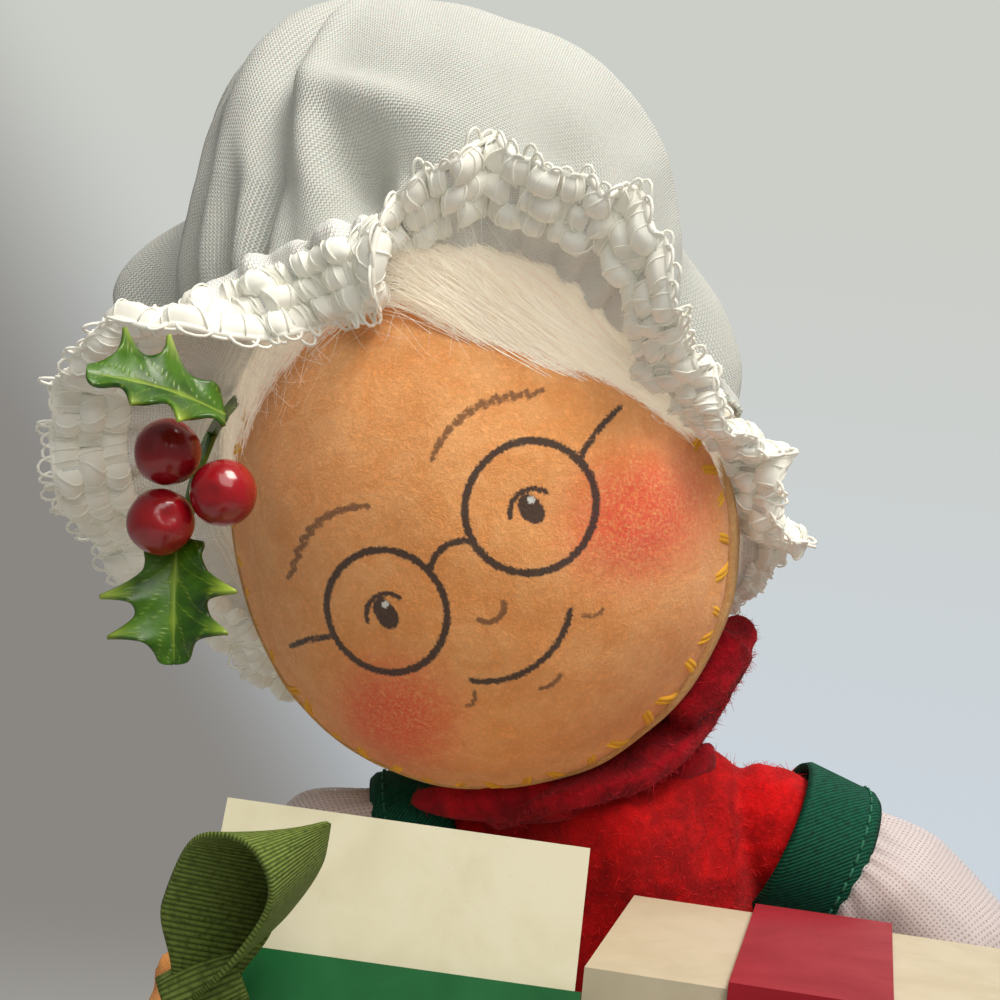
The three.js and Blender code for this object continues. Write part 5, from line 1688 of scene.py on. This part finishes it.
class DOLL_OT_gifts(bpy.types.Operator):
    """Finishes of the two cartons and their bands, and the ribbon bow"""

    bl_idname = "doll.gifts"
    bl_label = "Gift boxes"

    def execute(self, context):
        for node, finish in (
            ("gift_right_carton", "card"),
            # The left carton's card is painted darker than the right one's, as painted shade
            ("gift_left_carton", "grey card"),
            ("gift_right_flap", "card inside"),
            ("gift_left_flap", "card inside"),
            ("gift_right_band", "green foil"),
            ("gift_left_band", "red foil"),
        ):
            refinish(node, finish)
        points, faces, corners = [], [], []
        flat = (BOW_LOOP_RIBBON, BOW_RIBBON_WIDTH * MM)
        parts = [grid(bow_loop(*loop), 72, 14, False, flat) for loop in BOW_LOOPS]
        parts.append(grid(bow_wrap, 36, 10, True, (BOW_WRAP_RIBBON, BOW_WRAP_WIDTH * MM)))
        for part in parts:
            shift = len(points)
            points += part[0]
            faces += [tuple(i + shift for i in face) for face in part[1]]
            corners += part[2]
        olive = finish_for("olive grosgrain")
        bow = add_mesh("ribbon_bow", points, faces, olive, "forearm_right", "olive_ribbon", corners)
        thicken(bow, RIBBON)
        flat = (BOW_RIBBON_LENGTH, BOW_RIBBON_WIDTH * MM)
        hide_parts("gift_right_bow")
        return {"FINISHED"}


def refinish(node, finish):
    """A frame solid whose shape is right keeps it and gets its finish."""
    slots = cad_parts[node].data.materials
    slots.clear()
    slots.append(finish_for(finish))


class DOLL_OT_frame(bpy.types.Operator):
    """Finishes of the hidden wires and fill, the soles and the holly stem"""

    bl_idname = "doll.frame"
    bl_label = "Frame finishes"

    def execute(self, context):
        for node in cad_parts:
            if "wire" in node:
                refinish(node, "wire")
            elif node.endswith("stuffing"):
                refinish(node, "fibre fill")
            elif node.startswith("shoe_sole"):
                refinish(node, "sole leather")
        refinish("holly_stem", "leaf")
        return {"FINISHED"}


# Stage

FLOOR_RADIUS = 0.42
FLOOR_FADE = 0.2
FLOOR_COLOUR = rgb("B4B4B2")
# Lamps: name, place from the head's middle in metres, size in metres, watts and colour
LAMPS = (
    ("key", (0.22, -0.24, 0.72), 0.32, 5.0, (1, 0.95, 0.86)),
    ("fill", (0.1, -0.5, 0.5), 0.5, 2.3, (1, 0.97, 0.92)),
    ("back", (0.1, 0.5, 0.5), 0.5, 1.2, (0.95, 0.98, 1)),
)


class DOLL_OT_stage(bpy.types.Operator):
    """Pale floor, soft lamps, world light and the camera"""

    bl_idname = "doll.stage"
    bl_label = "Stage"

    def execute(self, context):
        self.floor()
        self.world(context.scene)
        middle = (Vector(HEAD_CENTRE) + SHIFT) * MM
        for name, away, size, power, colour in LAMPS:
            self.lamp(name, middle + Vector(away), middle, size, power, colour)
        self.camera(context.scene)
        context.scene.view_settings.view_transform = "Standard"
        return {"FINISHED"}

    def floor(self):
        bpy.ops.object.select_all(action="DESELECT")
        middle = (0, 0, 0)
        bpy.ops.mesh.primitive_circle_add(vertices=96, radius=FLOOR_RADIUS, fill_type="NGON", location=middle)
        floor = bpy.context.object
        floor.name = "pale_floor"
        material, tree, shader = surface("pale floor", roughness=0.9)
        shader.inputs["Base Color"].default_value = FLOOR_COLOUR
        away = put(tree, "ShaderNodeVectorMath", {0: object_place(tree)}, operation="LENGTH").outputs["Value"]
        tree.links.new(ramp(tree, away, FLOOR_RADIUS, FLOOR_FADE), shader.inputs["Alpha"])
        floor.data.materials.append(material)

    def world(self, scene):
        world = bpy.data.worlds.new("soft room")
        world.use_nodes = True
        scene.world = world
        tree = world.node_tree
        tree.nodes.clear()
        way = put(tree, "ShaderNodeTexCoord").outputs["Generated"]
        spread = put(tree, "ShaderNodeSeparateXYZ", {0: way}).outputs
        slope = plus(tree, spread[0], times(tree, spread[2], 0.8))
        lit = mix(tree, ramp(tree, spread[2], -0.2, 0.2), rgb("CCD5DD"), rgb("CCCEC8"))
        # The backdrop the camera sees is painted darker towards the lower left: painted shade on the backdrop
        shown = mix(tree, ramp(tree, slope, -0.27, -0.08), rgb("8A8783"), lit)
        seen = put(tree, "ShaderNodeBackground", {"Color": shown, "Strength": 1.0})
        light = put(tree, "ShaderNodeBackground", {"Color": (1.0, 0.97, 0.92, 1), "Strength": 0.2})
        ray = put(tree, "ShaderNodeLightPath")
        direct = maths(tree, "MAXIMUM", ray.outputs["Is Camera Ray"], ray.outputs["Is Transmission Ray"])
        either = put(tree, "ShaderNodeMixShader", {0: direct, 1: light.outputs[0], 2: seen.outputs[0]})
        put(tree, "ShaderNodeOutputWorld", {"Surface": either.outputs[0]})

    def lamp(self, name, place, target, size, power, colour):
        data = bpy.data.lights.new(name, "AREA")
        data.color = colour
        data.size = size
        data.energy = power
        lamp = bpy.data.objects.new(name, data)
        lamp.location = place
        lamp.rotation_euler = (target - place).to_track_quat("-Z", "Y").to_euler()
        bpy.context.scene.collection.objects.link(lamp)

    def camera(self, scene):
        data = bpy.data.cameras.new("camera")
        data.lens = CAMERA_LENS
        data.sensor_width = CAMERA_SENSOR
        data.clip_start = 0.01
        camera = bpy.data.objects.new("camera", data)
        turn = Matrix.Rotation(deg(90), 4, "X") @ Matrix.Rotation(deg(CAMERA_ROLL), 4, "Z")
        camera.matrix_world = Matrix.Translation((Vector(CAMERA_PLACE) + SHIFT) * MM) @ turn
        scene.collection.objects.link(camera)
        scene.camera = camera


OPERATORS = (
    DOLL_OT_stage,
    DOLL_OT_frame,
    DOLL_OT_body,
    DOLL_OT_head,
    DOLL_OT_hair,
    DOLL_OT_cap,
    DOLL_OT_holly,
    DOLL_OT_sleeves,
    DOLL_OT_skirt,
    DOLL_OT_gifts,
)


class DOLL_PT_panel(bpy.types.Panel):
    """The doll's pieces, sizes and colours in the sidebar"""

    bl_label = "Felt doll"
    bl_idname = "DOLL_PT_panel"
    bl_space_type = "VIEW_3D"
    bl_region_type = "UI"
    bl_category = "Doll"

    def draw(self, context):
        for settings in (context.scene.doll_sizes, context.scene.doll_colours):
            for name in settings.__annotations__:
                self.layout.prop(settings, name)
        for operator in OPERATORS:
            self.layout.operator(operator.bl_idname)


CLASSES = (DollColours, DollSizes, *OPERATORS, DOLL_PT_panel)


def register():
    for each in CLASSES:
        bpy.utils.register_class(each)
    bpy.types.Scene.doll_colours = bpy.props.PointerProperty(type=DollColours)
    bpy.types.Scene.doll_sizes = bpy.props.PointerProperty(type=DollSizes)


def unregister():
    del bpy.types.Scene.doll_sizes
    del bpy.types.Scene.doll_colours
    for each in reversed(CLASSES):
        bpy.utils.unregister_class(each)


def main():
    register()
    bpy.ops.doll.stage()
    bpy.ops.doll.frame()
    bpy.ops.doll.body()
    bpy.ops.doll.head()
    bpy.ops.doll.hair()
    bpy.ops.doll.cap()
    bpy.ops.doll.holly()
    bpy.ops.doll.sleeves()
    bpy.ops.doll.skirt()
    bpy.ops.doll.gifts()


if __name__ == "__main__":
    main()
